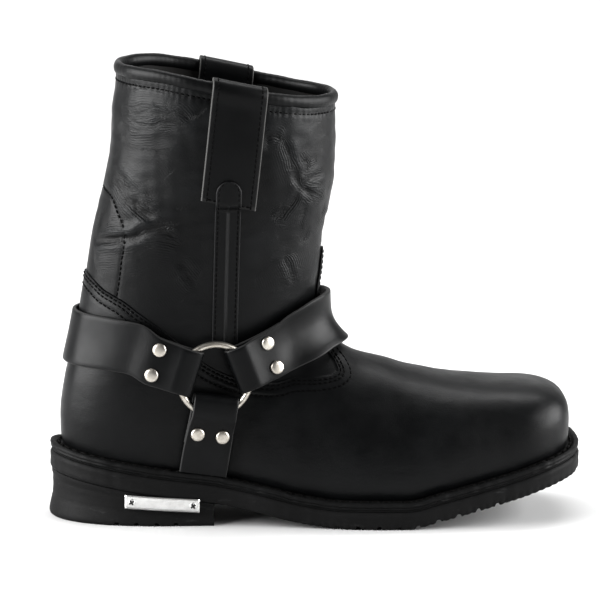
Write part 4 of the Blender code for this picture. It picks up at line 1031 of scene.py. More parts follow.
def upper(finish, lining):
    """Hollow upper with its creases and seams, and its lining."""
    half = COLUMNS // 2 + 1
    stations = np.linspace(HEEL_AXIS, TOE_AXIS, 90)
    feather = closed_ring(lambda side: even(footprint_half(side, stations, OVERLAY, SEAT, 24), half))
    feather[:, 2] = sole_top(feather[:, 0]) + SEAT
    feather = settle(feather, OVERLAY, flat=True)
    widest = settle(feather + np.array([0.0, 0.0, TUCK_HEIGHT * 2.2]), OVERLAY)
    edge = closed_ring(lambda side: seam_edge(side, half))
    rings = between(feather, widest, 2) + [widest] + between(widest, edge, 9)
    lower = [feather] + [settle(ring, OVERLAY) for ring in rings] + [edge]
    lower = relaxed(np.array(lower), (3,), OVERLAY)
    fine = upsampled(lower, FOOT_FINE)
    fine[1:-1] = settle(fine[1:-1], OVERLAY, rounds=3)

    # The shaft's top row runs up into the binding
    ends = {}
    for side in (OUTER, INNER):
        ends[side] = (seam_places(OVERLAY, side, half),
                      collar_places(0.0, ROLL_HEIGHT - ROLL_OVERLAP, side, half))

    def shaft_half(side, share):
        low, high = ends[side]
        at = low + (high - low) * share
        return skin(at[:, 0], at[:, 1] + SEAT * (1.0 - share), 0.0, side)

    shaft = np.array([closed_ring(lambda side: shaft_half(side, share))
                      for share in np.linspace(0.0, 1.0, SHAFT_FINE) ** 1.15])
    foot_points, *foot_facts = creased(fine, normals_at(fine))
    shaft_points, *shaft_facts = creased(shaft, normals_at(shaft))
    # The overlay's cut edge, rounded over down to the shaft
    lip_normal = normals_at(fine[-1])
    up = np.array([0.0, 0.0, 1.0])
    lip = [foot_points[-1] + up * OVERLAY * 0.30 - lip_normal * OVERLAY * 0.30,
           foot_points[-1] + up * OVERLAY * 0.36 - lip_normal * OVERLAY * 0.75]
    outside = np.concatenate([foot_points, np.array(lip), shaft_points])
    made = grid_piece("upper_leather", outside, finish, node="upper", slot="black_leather", sharp=50.0)
    # The two lengths are stored in mm
    for fact, unit, foot_values, shaft_values in zip(
            ("lift", "worked", "beside"), (1000.0, 1.0, 1000.0), foot_facts, shaft_facts):
        values = np.concatenate([foot_values, np.zeros(2 * COLUMNS), shaft_values])
        float_layer(made, fact, values * unit)
    inner = [inset(ring[::2], WALL + OVERLAY) for ring in fine[::4]]
    inner += [inset(ring[::2], WALL) for ring in (*shaft[::4], shaft[-1])]
    inner[-1][:, 2] = shaft[-1][::2][:, 2]
    points = np.array(inner).reshape(-1, 3)
    faces = outward_faces(points, sheet_faces(len(inner), len(inner[0])))
    mesh_piece("lining", points, [face[::-1] for face in faces], lining, slot="black_leather")


def read_along(run, values, at):
    """Rows of values that belong to distances along a line, read at other distances."""
    return np.stack([np.interp(at, run, column) for column in values.T], -1)


def sewn(name, lines, seed, finish, slot="black_leather", gauge=SEAM_GAUGE, sides=6):
    """A piece of stitches lying end to end along lines, each given as points and their normals."""
    length, pitch, radius, arch = gauge
    rng = np.random.default_rng(seed)
    profile = [(-0.48, 0.55), (-0.38, 0.95), (0.0, 1.08), (0.38, 0.95), (0.48, 0.55)]
    points, faces = [], []
    turns = np.linspace(0.0, 2.0 * math.pi, sides, endpoint=False)
    for line, normal in lines:
        run = run_along(line)
        count = int(run[-1] / pitch)
        centres = (np.arange(count) + 0.5) * run[-1] / count
        middle = read_along(run, line, centres)
        start, end = (read_along(run, line, centres + step) for step in (-length / 2.0, length / 2.0))
        ahead = end - start
        ahead /= np.linalg.norm(ahead, axis=1)[:, None]
        up = read_along(run, normal, centres)
        up -= (up * ahead).sum(1)[:, None] * ahead
        up /= np.linalg.norm(up, axis=1)[:, None]
        aside = np.cross(ahead, up)
        turned_ahead = ahead + aside * rng.normal(0.0, 0.045, count)[:, None]
        stretch = length * rng.uniform(0.92, 1.06, count)
        for k in range(count):
            base = len(points)
            for along, width in profile:
                dip = 1.0 - (2.0 * along) ** 2
                for turn in turns:
                    points.append(middle[k] + turned_ahead[k] * along * stretch[k]
                                  + aside[k] * radius * width * math.cos(turn)
                                  + up[k] * (radius * width * math.sin(turn) * 0.85 + arch * dip))
            faces += sheet_faces(len(profile), sides, base=base)
            faces.append(tuple(range(base, base + sides))[::-1])
            faces.append(tuple(range(len(points) - sides, len(points))))
    mesh_piece(name, np.array(points), faces, finish, slot=slot)


def stitches(finish):
    """Thread of all the seams in the upper."""
    lines = [(line, normals_at(line)) for line in stitch_lines()]
    sewn("seam_stitches", [(line - normal * STITCH_SINK, normal) for line, normal in lines], 11, finish)


def collar_roll(finish):
    """Rolled binding with fine puckers."""
    rings = []
    for turn in np.linspace(0.0, 2.0 * math.pi, 18, endpoint=False):
        squash = 1.0 - 0.06 * math.cos(turn * 2.0)
        level = -WALL / 2.0 + ROLL_THICK / 2.0 * math.cos(turn) * squash
        drop = ROLL_HEIGHT / 2.0 - ROLL_HEIGHT / 2.0 * math.sin(turn) * squash

        def line(side):
            at = collar_places(level, drop, side, COLUMNS // 2 + 1)
            return skin(at[:, 0], at[:, 1], level, side)

        rings.append(closed_ring(line))
    rings = np.array(rings)
    spoke = rings - rings.mean(0)
    length = np.linalg.norm(spoke, axis=-1)[..., None]
    turn = np.arange(COLUMNS) * 2.0 * math.pi / COLUMNS
    ripple = 0.00004 * np.sin(turn * 96.0 + 2.5 * np.sin(turn * 7.0)) + 0.00010 * np.sin(turn * 19.0)
    rings = rings + spoke / length * ripple[None, :, None]
    grid_piece("collar_binding", rings, finish, wrap_rows=True, node="collar_roll", slot="black_leather")


def rounded_section(half_width, round_size, steps):
    """Section of a strap with rounded edges: shares of half the width and of half the thickness."""
    rim = min(0.9, round_size / half_width)
    top = [(u, 1.0) for u in np.linspace(-1.0 + rim, 1.0 - rim, steps)]
    corner = [(1.0 - rim * (1.0 - math.sin(t)), math.cos(t)) for t in np.linspace(0.0, math.pi, 7)[1:-1]]
    bottom = [(u, -1.0) for u in np.linspace(1.0 - rim, -1.0 + rim, max(3, steps // 2))]
    other = [(-u, v) for u, v in corner[::-1]]
    return np.array(top + corner + bottom + other)


def strap_rings(band, path, side, section):
    """Rings of a strap along a path in a band's own section."""
    path = np.asarray(path, float)
    steps = np.diff(path, axis=0)
    steps /= np.linalg.norm(steps, axis=1)[:, None]
    ahead = np.concatenate([steps[:1], steps[:-1] + steps[1:], steps[-1:]])
    ahead /= np.linalg.norm(ahead, axis=1)[:, None]
    blend = ease(path[:, 0], RING_OUTER / 2.0 - RING_WIRE * 2.5, RING_OUTER / 2.0 - RING_WIRE)
    thick = FOLD_THICK + (STRAP_THICK - FOLD_THICK) * blend
    normal = np.stack([-ahead[:, 1], ahead[:, 0]], -1) * thick[:, None] / 2.0
    u, v = section[:, 0], section[:, 1]
    run = path[:, :1] + normal[:, :1] * v[None, :]
    level = path[:, 1:] + normal[:, 1:] * v[None, :]
    return band.point(run, np.broadcast_to(u, run.shape), level, side)


def smoothed(path, passes):
    """A path with its corners eased and its ends kept."""
    path = np.array(path, float)
    for _ in range(passes):
        path[1:-1] = path[1:-1] * 0.5 + (path[:-2] + path[2:]) * 0.25
    return path


def eased_down(path, passes):
    """A strap's path with its outer ply brought down softly past the ring."""
    path = np.array(path, float)
    first = int(np.argmin(path[:, 0])) + 1
    free = np.flatnonzero((path[:, 0] > RING_OUTER / 2.0 + 0.001) & (np.arange(len(path)) > first))[:-1]
    for _ in range(passes):
        path[free] = path[free] * 0.5 + (path[free - 1] + path[free + 1]) * 0.25
    return path


def bands():
    """The three straps' paths by name."""
    return {
        "rear": Band(REAR_DIRECTION, REAR_STRAP, STRAP_WIDTH / 2.0, -1.0),
        "front": Band(FRONT_DIRECTION, FRONT_STRAP, STRAP_WIDTH / 2.0),
        "low": Band(LOW_DIRECTION, [], LOW_STRAP_WIDTH / 2.0, 1.0, LOW_SHIFT),
    }


def edge_layer(made, section, count, fade):
    """Marks the cut edges of a strap of so many rings, for its material."""
    float_layer(made, "edge", np.tile(ease(np.abs(section[:, 0]), *fade), (count, 1)))


def harness_strap(name, node, band, path, sides, finish):
    """Harness strap with rounded edges along a path, on one side or from ring to ring."""
    section = rounded_section(STRAP_WIDTH / 2.0, STRAP_ROUND, 15)
    rings = strap_rings(band, path, sides[0], section)
    if len(sides) > 1:
        rings = np.concatenate([rings[:-1], strap_rings(band, path, sides[1], section)[::-1]])
    made = grid_piece(name, rings, finish, caps=True, node=node, slot="strap_leather", sharp=70.0)
    edge_layer(made, section, len(rings), STRAP_CUT)


def long_strap(name, node, band, finish):
    """Harness strap from ring to ring, round the heel or over the instep."""
    lower, _, _ = strap_levels()
    fold = smoothed(dense(fold_path(FOLD_REACH, RETURN_LENGTH), PATH_FINE), 3)
    rest = [(run, lower) for run in np.arange(RETURN_LENGTH + STRAP_THICK * 3.4, band.length, STRAP_FINE)]
    rest.append((band.length, lower))
    path = eased_down(np.concatenate([fold, np.array(rest)]), 26)
    harness_strap(name, node, band, path, (OUTER, INNER), finish)


def low_strap(name, node, band, side, finish):
    """Short strap from the ring down to the welt."""
    foot = (band.centre[1] - sole_top(band.centre[0])) - CURVED_GAP * 2.0
    path = fold_path(LOW_FOLD_REACH, RETURN_LENGTH * 0.9)[:-1]
    path.append((foot, path[-1][1]))
    path = eased_down(smoothed(dense(path, PATH_FINE), 3), 8)
    harness_strap(name, node, band, path, (side,), finish)


def ring(name, node, side, metal):
    """Round wire ring."""
    origin, first, _, normal = ring_plane(side)
    first = first / np.linalg.norm(first)
    second = np.cross(normal, first)
    _, wire, _ = strap_levels()
    centre = origin + normal * wire
    mean = (RING_OUTER - RING_WIRE) / 2.0
    rings = []
    for turn in np.linspace(0.0, 2.0 * math.pi, 120, endpoint=False):
        spoke = first * math.cos(turn) + second * math.sin(turn)
        rings.append([centre + spoke * (mean + RING_WIRE / 2.0 * math.cos(roll))
                      + normal * RING_WIRE / 2.0 * math.sin(roll)
                      for roll in np.linspace(0.0, 2.0 * math.pi, 20, endpoint=False)])
    grid_piece(name, rings, metal, wrap_rows=True, node=node, slot="antique_nickel")


def turned(name, centre, normal, profile, finish, steps=48, **facts):
    """A round piece from a profile of radii and heights over its base, closed by flat ends."""
    first = np.cross(normal, np.array([1.0, 0.0, 0.0]))
    first /= np.linalg.norm(first)
    second = np.cross(normal, first)
    turns = np.linspace(0.0, 2.0 * math.pi, steps, endpoint=False)
    rings = [[centre + radius * (first * math.cos(t) + second * math.sin(t)) + normal * rise for t in turns]
             for radius, rise in profile]
    grid_piece(name, rings, finish, caps=True, slot="antique_nickel", **facts)


def rivets(straps, metal):
    """Domed rivets with a rolled rim."""
    lower, _, _ = strap_levels()
    level = lower + STRAP_THICK * 1.5 + WIRE_GAP + CURVED_GAP
    reaches = {"rear": RIVET_REACH, "front": RIVET_REACH, "low": LOW_RIVET_REACH}
    radius = RIVET_ACROSS / 2.0
    rim = 0.00055
    profile = [(radius * 0.93, -0.0009), (radius * 0.99, 0.0001), (radius, 0.0003), (radius * 0.985, rim)]
    for share in np.linspace(0.15, 1.0, 9):
        turn = share * math.pi / 2.0
        across = radius * 0.97 * math.cos(turn) ** 0.8 if share < 1.0 else radius * 0.02
        profile.append((across, rim + (RIVET_HEIGHT - rim) * math.sin(turn) ** 0.8))
    # Steps along and across the strap that its surface's direction is read from
    steps = ((0.003, 0.0), (-0.003, 0.0), (0.0, 0.2), (0.0, -0.2))
    for side, side_name in ((OUTER, "outer"), (INNER, "inner")):
        for strap, band in straps.items():
            for number, sign in ((1, 1.0), (2, -1.0)):
                run, share = reaches[strap], sign * RIVET_SPACING / STRAP_WIDTH
                at = band.point(run, share, level, side)[0]
                beside = [band.point(run + on, share + over, level, side)[0] for on, over in steps]
                normal = np.cross(beside[0] - beside[1], beside[2] - beside[3])
                normal *= side * np.sign(normal[1]) / np.linalg.norm(normal)
                place = f"{strap}_{side_name}_{number}"
                turned(f"dome_{place}", at, normal, profile, metal, node=f"rivet_{place}", sharp=60.0)


def pull_rings(path, section, side):
    """Rings of a pull strap along its path of drops and levels."""
    ahead = np.gradient(path, axis=0)
    ahead /= np.linalg.norm(ahead, axis=1)[:, None]
    normal = np.stack([-ahead[:, 1], ahead[:, 0]], -1) * PULL_THICK / 2.0
    u, v = section[:, 0], section[:, 1]
    drop = path[:, :1] + normal[:, :1] * v[None, :]
    level = path[:, 1:] + normal[:, 1:] * v[None, :]
    lean = PULL_LEAN * (1.0 - np.maximum(drop, 0.0) / PULL_LENGTH)
    x = PULL_PLACE * FOOT_LENGTH + lean + u[None, :] * PULL_WIDTH / 2.0
    height = collar_top(x) - drop
    return skin(around_at(x, height), height, level, side)


def pull_strap(name, node, side, finish, thread):
    """Pull strap with pale cut edges, a stitch row along each side and one across its foot."""
    path = smoothed(dense([tuple(p) for p in pull_path()], PATH_FINE), 3)
    section = rounded_section(PULL_WIDTH / 2.0, PULL_ROUND, 17)
    rings = pull_rings(path, section, side)
    made = grid_piece(name, rings, finish, caps=True, node=node, slot="strap_leather", sharp=70.0)
    cut = np.tile(ease(np.abs(section[:, 0]), *PULL_CUT), (len(rings), 1))
    cut[:2] = np.maximum(cut[:2], 0.45)
    float_layer(made, "edge", cut)
    across = np.linspace(-PULL_ROW_SHARE, PULL_ROW_SHARE, 30)
    lines = []
    for places, shares in ((path, across[:1]), (path, across[-1:]), (path[1:3], across)):
        # The strap's path runs so that its outside has the share -1 of the thickness
        near, far = (pull_rings(places, np.stack([shares, 0.0 * shares + depth], -1), side)
                     for depth in (-1.04, -1.6))
        near, far = (near[:, 0], far[:, 0]) if len(shares) == 1 else (near[0], far[0])
        normal = far - near
        normal /= np.linalg.norm(normal, axis=1)[:, None]
        lines.append((near - normal * ROW_SINK, normal))
    sewn(f"{name}_stitches", lines, 21, thread, slot="strap_leather")


def round_topped(low, straight, half):
    """Heights up a strip with a round top, with its half width and how far into the top each lies."""
    heights = list(np.arange(low, straight, HEIGHT_FINE))
    heights += [straight + half * math.sin(t) for t in np.linspace(0.0, math.pi / 2.0, 12)[:-1]]
    into = [min(0.995, max(0.0, (height - straight) / half)) for height in heights]
    return [(height, half * math.sqrt(1.0 - share ** 2), share) for height, share in zip(heights, into)]


def seam_tape(name, node, side, finish, thread):
    """Strip over the side seam with a corded middle, stitch rows and a round top."""
    foot_x = PULL_PLACE * FOOT_LENGTH
    pull_foot = float(collar_top(foot_x)) - PULL_LENGTH
    low = over_seat(RING_PLACE[1]) + RING_OUTER / 2.0 - 0.004
    straight = pull_foot + TAPE_OVER - TAPE_WIDTH / 2.0
    section = rounded_section(TAPE_WIDTH / 2.0, TRIM_ROUND, 37)
    u, v = section[:, 0], section[:, 1]
    rings = []
    rows = {-1.0: [], 1.0: []}
    for height, half, into in round_topped(low, straight, TAPE_WIDTH / 2.0):
        # The strip's top lies over the pull strap's foot
        lap = ease(height, pull_foot - 0.003, pull_foot + 0.0008)
        over = CURVED_GAP * 0.4 + lap * (PULL_THICK + PULL_SEAT)
        under_pull = ease(height, pull_foot - 0.001, pull_foot + 0.001)
        cord = CORD_HEIGHT * np.exp(-(u * half / CORD_HALF) ** 2) * (1.0 - under_pull)
        swell = TAPE_SWELL * lap * (1.0 - u ** 2)
        level = over + TAPE_THICK * 0.5 * (1.0 + v) + np.where(v > 0.9, cord + swell, 0.0)
        rings.append(skin(around_at(foot_x + u * half, height), height, level, side))
        if into < 0.9:
            for sign, row in rows.items():
                place = around_at(foot_x + sign * (half - TAPE_ROW_IN), height)
                row.append(skin(place, height, over + TAPE_THICK * 1.02, side)[0])
    made = grid_piece(name, rings, finish, caps=True, node=node, slot="black_leather", sharp=70.0)
    edge_layer(made, section, len(rings), TAPE_CUT)
    lines = [np.array(row) for row in rows.values()]
    sewn(f"{name}_stitches", [(line, normals_at(line)) for line in lines], 31, thread)


def vamp_tongue(finish, thread):
    """Tongue of the vamp up the front of the shaft."""
    low = over_seat(SEAM_LINE[-1][1]) + STRAP_THICK * 1.2
    top = over_seat(FRONT_STRAP[-1][1]) + TONGUE_TOP
    half = TONGUE_WIDTH / 2.0
    under = CURVED_GAP * 0.6
    section = rounded_section(half, TRIM_ROUND, 13)
    forward = np.array([1.0, 0.0, 0.0])

    def front(aside, height, level):
        start = np.stack([0.0 * aside + FRONT_AXIS, aside, 0.0 * aside + height], -1)
        return reach(start, forward + 0.0 * start, level)

    rings = []
    rows = {-1.0: [], 1.0: []}
    for height, wide, into in round_topped(low, top - half, half):
        rings.append(front(section[:, 0] * wide, height, under + OVERLAY * 0.5 * (1.0 + section[:, 1])))
        if into < 0.9:
            for sign, row in rows.items():
                aside = np.array([sign * (wide - TONGUE_ROW_IN)])
                row.append(front(aside, height, np.array([under + OVERLAY * 1.02]))[0])
    grid_piece("vamp_tongue_leather", rings, finish, caps=True, node="vamp_tongue", slot="black_leather",
               sharp=70.0)
    lines = [np.array(row) for row in rows.values()]
    sewn("vamp_tongue_stitches", [(line, normals_at(line)) for line in lines], 41, thread)


def layer(outline, reach_out, height):
    """An outline grown sideways and set at a height over the outsole's underside."""
    made = grown(outline, reach_out)
    made[:, 2] = underside(made[:, 0]) + height
    return made


def welt(rubber, thread):
    """Welt with a stitched channel on top, a rounded lip and ribs down its side."""
    outline = sole_outline(SOLE_COLUMNS)
    base = OUTSOLE + SEAT
    top = OUTSOLE + WELT
    profile = [(-WELT_UNDER, top)] + [(out, top - drop) for out, drop in WELT_CHANNEL]
    for share in np.linspace(0.1, 1.0, 8):
        turn = share * math.pi / 2.0
        profile.append((WELT_REACH - WELT_LIP + WELT_LIP * math.sin(turn),
                        top - WELT_LIP + WELT_LIP * math.cos(turn)))
    profile += [(WELT_REACH - step_in, top - drop) for step_in, drop in WELT_RIBS]
    rough = range(len(WELT_CHANNEL) - 1, len(profile))
    profile += [(WELT_REACH - LAYER_GROOVE, top - WELT_FOOT), (WELT_REACH - LAYER_GROOVE, base),
                (-WELT_UNDER, base)]
    rings = [layer(outline, grow, height) for grow, height in profile]
    wave = 0.00020 * wander(outline, 7, 0.020, 8) + 0.00020 * wander(outline, 8, 0.004, 8)
    for k in rough:
        rings[k] = layer(outline, profile[k][0] + wave, profile[k][1])
        rings[k][:, 2] += wave * 0.7
    grid_piece("welt_strip", rings, rubber, wrap_rows=True, node="welt", slot="black_rubber", sharp=50.0)
    path = layer(outline, WELT_ROW[0], top - WELT_ROW[1])
    closed = np.concatenate([path, path[:1]])
    up = np.zeros_like(closed)
    up[:, 2] = 1.0
    sewn("welt_stitches", [(closed, up)], 51, thread, slot="black_rubber", gauge=WELT_GAUGE, sides=8)


def cross_grooves(x, start, end):
    """Depth of the tread's cross grooves at x, between a start and an end."""
    at = (x - start) % LUG_PITCH
    wall = ease(at, 0.0, GROOVE_WALL) * (1.0 - ease(at, LUG_GROOVE - GROOVE_WALL, LUG_GROOVE))
    return np.where((x > start) & (x < end), wall, 0.0) * LUG_DEPTH


def notches(outline):
    """Fine serration of an edge along an outline."""
    run = run_along(outline)
    return NOTCH_DEPTH * (0.5 + 0.5 * np.sin(run * 2.0 * math.pi / NOTCH_PITCH)) ** 2


def capped_piece(name, rings, finish, rows_across, **facts):
    """A piece of stacked outlines whose ends are closed by strips from side to side."""
    count = len(rings[0])
    half = count // 2
    faces = sheet_faces(len(rings), count)
    points = [point for outline in rings for point in outline]
    for first, outline in ((0, rings[0]), ((len(rings) - 1) * count, rings[-1])):
        strips = []
        for i in range(half + 1):
            j = (count - i) % count
            strip = [first + i]
            if i not in (0, half):
                for k in range(1, rows_across):
                    points.append(outline[i] + (outline[j] - outline[i]) * (k / rows_across))
                    strip.append(len(points) - 1)
                strip.append(first + j)
            strips.append(strip)
        for one, two in zip(strips, strips[1:]):
            if len(one) == 1:
                fan = [(one[0], two[k + 1], two[k]) for k in range(len(two) - 1)]
            elif len(two) == 1:
                fan = [(one[k], one[k + 1], two[0]) for k in range(len(one) - 1)]
            else:
                fan = [(one[k], one[k + 1], two[k + 1], two[k]) for k in range(len(one) - 1)]
            faces += fan if first else [face[::-1] for face in fan]
    mesh_piece(name, points, outward_faces(points, faces), finish, **facts)


def outsole(rubber):
    """Outsole with serrated lower edge and cut tread."""
    outline = sole_outline(SOLE_COLUMNS * 2)
    out = WELT_REACH
    bite = notches(outline) * ease(outline[:, 0], 0.12, 0.16)
    profile = [(out - step_in, height) for step_in, height in SOLE_EDGE]
    profile += [(out + 0.0001 * math.sin(h * 900.0), h) for h in np.linspace(0.0026, OUTSOLE - 0.0022, 6)]
    profile += [(out - 0.0003, OUTSOLE - 0.0012), (out - 0.0007, OUTSOLE - 0.0004),
                (out - LAYER_GROOVE, OUTSOLE)]
    rough = 0.00012 * wander(outline, 17, 0.006, 10) + 0.00012 * wander(outline, 18, 0.018, 6)
    tread = cross_grooves(outline[:, 0], FOOT_LENGTH * TREAD_START, TOE_AXIS)
    rings = []
    for grow, height in profile:
        low = 1.0 - ease(height, 0.0, 0.005)
        rings.append(layer(outline, grow + rough - bite * low, height))
        if len(rings) <= len(TREAD_SHARES):
            rings[-1][:, 2] += tread * TREAD_SHARES[len(rings) - 1] + bite * 0.6 * low
    capped_piece("outsole_rubber", rings, rubber, 10, node="outsole", slot="black_rubber", sharp=45.0)


def heel(rubber):
    """Heel block, waisted at the back, with layers showing faintly in its side and a cut tread."""
    outline = sole_outline(SOLE_COLUMNS * 2)
    shares = np.linspace(0.0, 1.0, 40)[1:-1]
    behind = np.flatnonzero(outline[:, 0] <= HEEL_LENGTH)
    keep_out, keep_in = behind[behind < len(outline) // 2], behind[behind >= len(outline) // 2]

    def heel_ring(grow):
        full = grown(outline, grow)
        half_out, half_in = full[keep_out], full[keep_in]
        start, end = half_out[-1].copy(), half_in[0].copy()
        start[0] = end[0] = HEEL_LENGTH
        half_out[-1, 0] = half_in[0, 0] = HEEL_LENGTH
        breast = start + (end - start) * shares[:, None]
        breast[:, 0] -= BREAST_BOW * 4.0 * shares * (1.0 - shares)
        return np.concatenate([half_out, breast, half_in])

    rings = []
    for step_out, height, cut in HEEL_RINGS:
        one = heel_ring(WELT_REACH + step_out)
        one[:, 2] = height + cross_grooves(one[:, 0], HEEL_AXIS + SEAT, HEEL_LENGTH - LUG_PITCH) * cut
        rings.append(one)
    top = underside(heel_ring(WELT_REACH - HEEL_WAIST * 0.6)[:, 0]) - SEAT
    for share in np.linspace(0.0, 1.0, 18):
        waist = HEEL_WAIST * math.sin(math.pi * min(1.0, share * 1.02)) ** 1.3
        groove = sum(depth * math.exp(-((share - at) / width) ** 2) for depth, at, width in HEEL_LAYERS)
        one = heel_ring(WELT_REACH + HEEL_EDGE * (1.0 - share) - waist - groove - HEEL_WAIST * 0.6 * share)
        one[:, 2] = HEEL_BASE + (top - HEEL_BASE) * share
        one[:, :2] *= 1.0 + (wander(one, 29, 0.010, 10) * 0.00012)[:, None]
        rings.append(one)
    capped_piece("heel_rubber", rings, rubber, 10, node="heel", slot="black_rubber", sharp=45.0)


def insole(board):
    """Insole board with a rounded edge."""
    outline = sole_outline(260)
    step_in = -WALL - OVERLAY - CURVED_GAP * 2.0
    let_in = -WELT_UNDER - CURVED_GAP
    top = OUTSOLE + WELT
    rows = [(let_in, OUTSOLE + SEAT), (let_in, top + SEAT), (step_in, top + SEAT),
            (step_in, top + INSOLE - 0.0008), (step_in - 0.0008, top + INSOLE)]
    capped_piece("insole_board", [layer(outline, grow, height) for grow, height in rows], board, 12,
                 node="insole", slot="insole_board", sharp=50.0)


def badge(metal, dark):
    """Bare plate with a raised rim and a cross-head screw at each end, whose slots are dark crosses of
    painted shade.
    """
    outline = sole_outline(SOLE_COLUMNS)
    edge = grown(outline, WELT_REACH)[:len(outline) // 2]
    order = np.argsort(edge[:, 0])
    side_at = Curve(edge[order, 0][4:], edge[order, 1][4:])
    centre = PLATE_FROM_BACK + PLATE_LENGTH / 2.0
    columns_count, rows_count = 60, 14
    us = np.linspace(-0.5, 0.5, columns_count)
    x = centre + us * PLATE_LENGTH
    y = side_at(x) - SEAT - CURVED_GAP
    front, back = [], []
    for v in np.linspace(-0.5, 0.5, rows_count):
        z = PLATE_LEVEL + (x - centre) * PLATE_TILT + v * PLATE_HEIGHT
        near = np.minimum((0.5 - np.abs(us)) * PLATE_LENGTH, (0.5 - abs(v)) * PLATE_HEIGHT)
        rim = PLATE_FLOOR + (1.0 - PLATE_FLOOR) * np.exp(-((near - RIM_PLACE) / RIM_WIDTH) ** 2)
        front.append(np.stack([x, y - PLATE_THICK * rim * ease(near, -0.0002, 0.0004), z], -1))
        back.append(np.stack([x, y, z], -1))
    points = np.array([front, back]).reshape(-1, 3)
    size = rows_count * columns_count
    faces = sheet_faces(rows_count, columns_count, wrap_columns=False)
    faces += [face[::-1] for face in sheet_faces(rows_count, columns_count, wrap_columns=False, base=size)]
    index = np.arange(size).reshape(rows_count, columns_count)
    border = np.concatenate([index[0], index[1:, -1], index[-1, -2::-1], index[-2:0:-1, 0]]).tolist()
    for a, b in zip(border, border[1:] + border[:1]):
        faces.append((b, a, a + size, b + size))
    mesh_piece("plate_metal", points, outward_faces(points, faces), metal, node="badge_plate",
               slot="antique_nickel", sharp=35.0)
    radius = SCREW_ACROSS / 2.0 * SCREW_SHARE
    profile = [(radius * 0.96, -0.0002), (radius, 0.0001), (radius * 0.96, 0.00035)]
    for t in np.linspace(0.2, 1.5, 6):
        profile.append((radius * 0.93 * math.cos(t), 0.00035 + 0.0003 * math.sin(t)))
    for number, sign in ((1, -1.0), (2, 1.0)):
        x = centre + sign * (PLATE_LENGTH / 2.0 - SCREW_ACROSS * 0.80)
        slope = float(side_at(x + 0.002) - side_at(x - 0.002)) / 0.004
        across = np.array([1.0, slope, 0.0]) / math.hypot(slope, 1.0)
        up = np.array([0.0, 0.0, 1.0])
        normal = np.cross(across, up)
        seat = float(side_at(x)) - SEAT - CURVED_GAP - PLATE_THICK * PLATE_FLOOR
        at = np.array([x, seat, PLATE_LEVEL + (x - centre) * PLATE_TILT])
        turned(f"screw_head_{number}", at, normal, profile, metal, steps=36, node=f"badge_screw_{number}",
               sharp=50.0)
        # Slots: dark matte crosses, painted shade standing in for the shade down in the screws' recesses
        points, faces = [], []
        long_arm, short_arm = (radius * share for share in SLOT_SHARES)
        for angle in (SLOT_TURN, SLOT_TURN + math.pi / 2.0):
            one = across * math.cos(angle) + up * math.sin(angle)
            two = np.cross(normal, one)
            base = len(points)
            for depth in SLOT_DEPTHS:
                for a, b in ((-1.0, -1.0), (1.0, -1.0), (1.0, 1.0), (-1.0, 1.0)):
                    points.append(at + one * a * long_arm + two * b * short_arm + normal * depth)
            faces += sheet_faces(2, 4, base=base)
            faces += [(base + 3, base + 2, base + 1, base), tuple(range(base + 4, base + 8))]
        mesh_piece(f"screw_slot_{number}", points, faces, dark, slot="antique_nickel", smooth=False)


class Finish:
    """A material in the making: its nodes and its Principled shader, placed by object coordinates."""

    def __init__(self, name):
        self.material = bpy.data.materials.new(name)
        self.material.use_nodes = True
        self.tree = self.material.node_tree
        self.place = self.node("TexCoord", {}, "Object")

    def feed(self, made, inputs):
        """Sets a node's inputs to values, or links them to other nodes' outputs."""
        for key, value in inputs.items():
            if isinstance(value, bpy.types.NodeSocket):
                self.tree.links.new(value, made.inputs[key])
            else:
                made.inputs[key].default_value = value

    def node(self, kind, inputs, output, **facts):
        """Output of a new node."""
        made = self.tree.nodes.new(f"ShaderNode{kind}")
        for name, value in facts.items():
            setattr(made, name, value)
        self.feed(made, inputs)
        return made.outputs[output]

    def noise(self, scale, detail=3.0, roughness=0.5, stretch=None):
        """Noise in the object's own metres."""
        place = self.place
        if stretch:
            place = self.node("Mapping", {"Scale": stretch, "Vector": place}, "Vector")
        return self.node("TexNoise", {"Scale": scale, "Detail": detail, "Roughness": roughness,
                                      "Vector": place}, "Fac")

    def pebbles(self, scale, warp_scale):
        """Pebble grain in the object's own metres, bent by a noise: distance to a pebble's edge."""
        warp = self.node("TexNoise", {"Scale": warp_scale, "Vector": self.place}, "Color")
        bent = self.node("VectorMath", {0: warp, 1: (0.0012, 0.0012, 0.0012), 2: self.place}, "Vector",
                         operation="MULTIPLY_ADD")
        return self.node("TexVoronoi", {"Scale": scale, "Vector": bent}, "Distance",
                         feature="DISTANCE_TO_EDGE")

    def ranged(self, value, low, high, to_low=0.0, to_high=1.0):
        """A value mapped from one range to another and kept inside it."""
        return self.node("MapRange", {"Value": value, "From Min": low, "From Max": high, "To Min": to_low,
                                      "To Max": to_high}, "Result")

    def blended(self, factor, one, two):
        """Colour between two others; each is a colour or another node's output."""
        one, two = ((*value, 1.0) if isinstance(value, tuple) else value for value in (one, two))
        return self.node("Mix", {0: factor, 6: one, 7: two}, 2, data_type="RGBA")

    def maths(self, kind, one, two=0.0):
        """One step of arithmetic on values."""
        return self.node("Math", {0: one, 1: two}, "Value", operation=kind)

    def stored(self, name):
        """A named value stored on the mesh."""
        return self.node("Attribute", {}, "Fac", attribute_name=name)

    def shaded(self, inputs, layers=()):
        """The material, with its shader's inputs and its bump layers: height, metres and strength."""
        normal = {}
        for height, distance, strength in layers:
            facts = {"Distance": distance, "Strength": strength, "Height": height}
            normal = {"Normal": self.node("Bump", {**facts, **normal}, "Normal")}
        self.feed(self.tree.nodes["Principled BSDF"], {**inputs, **normal})
        return self.material


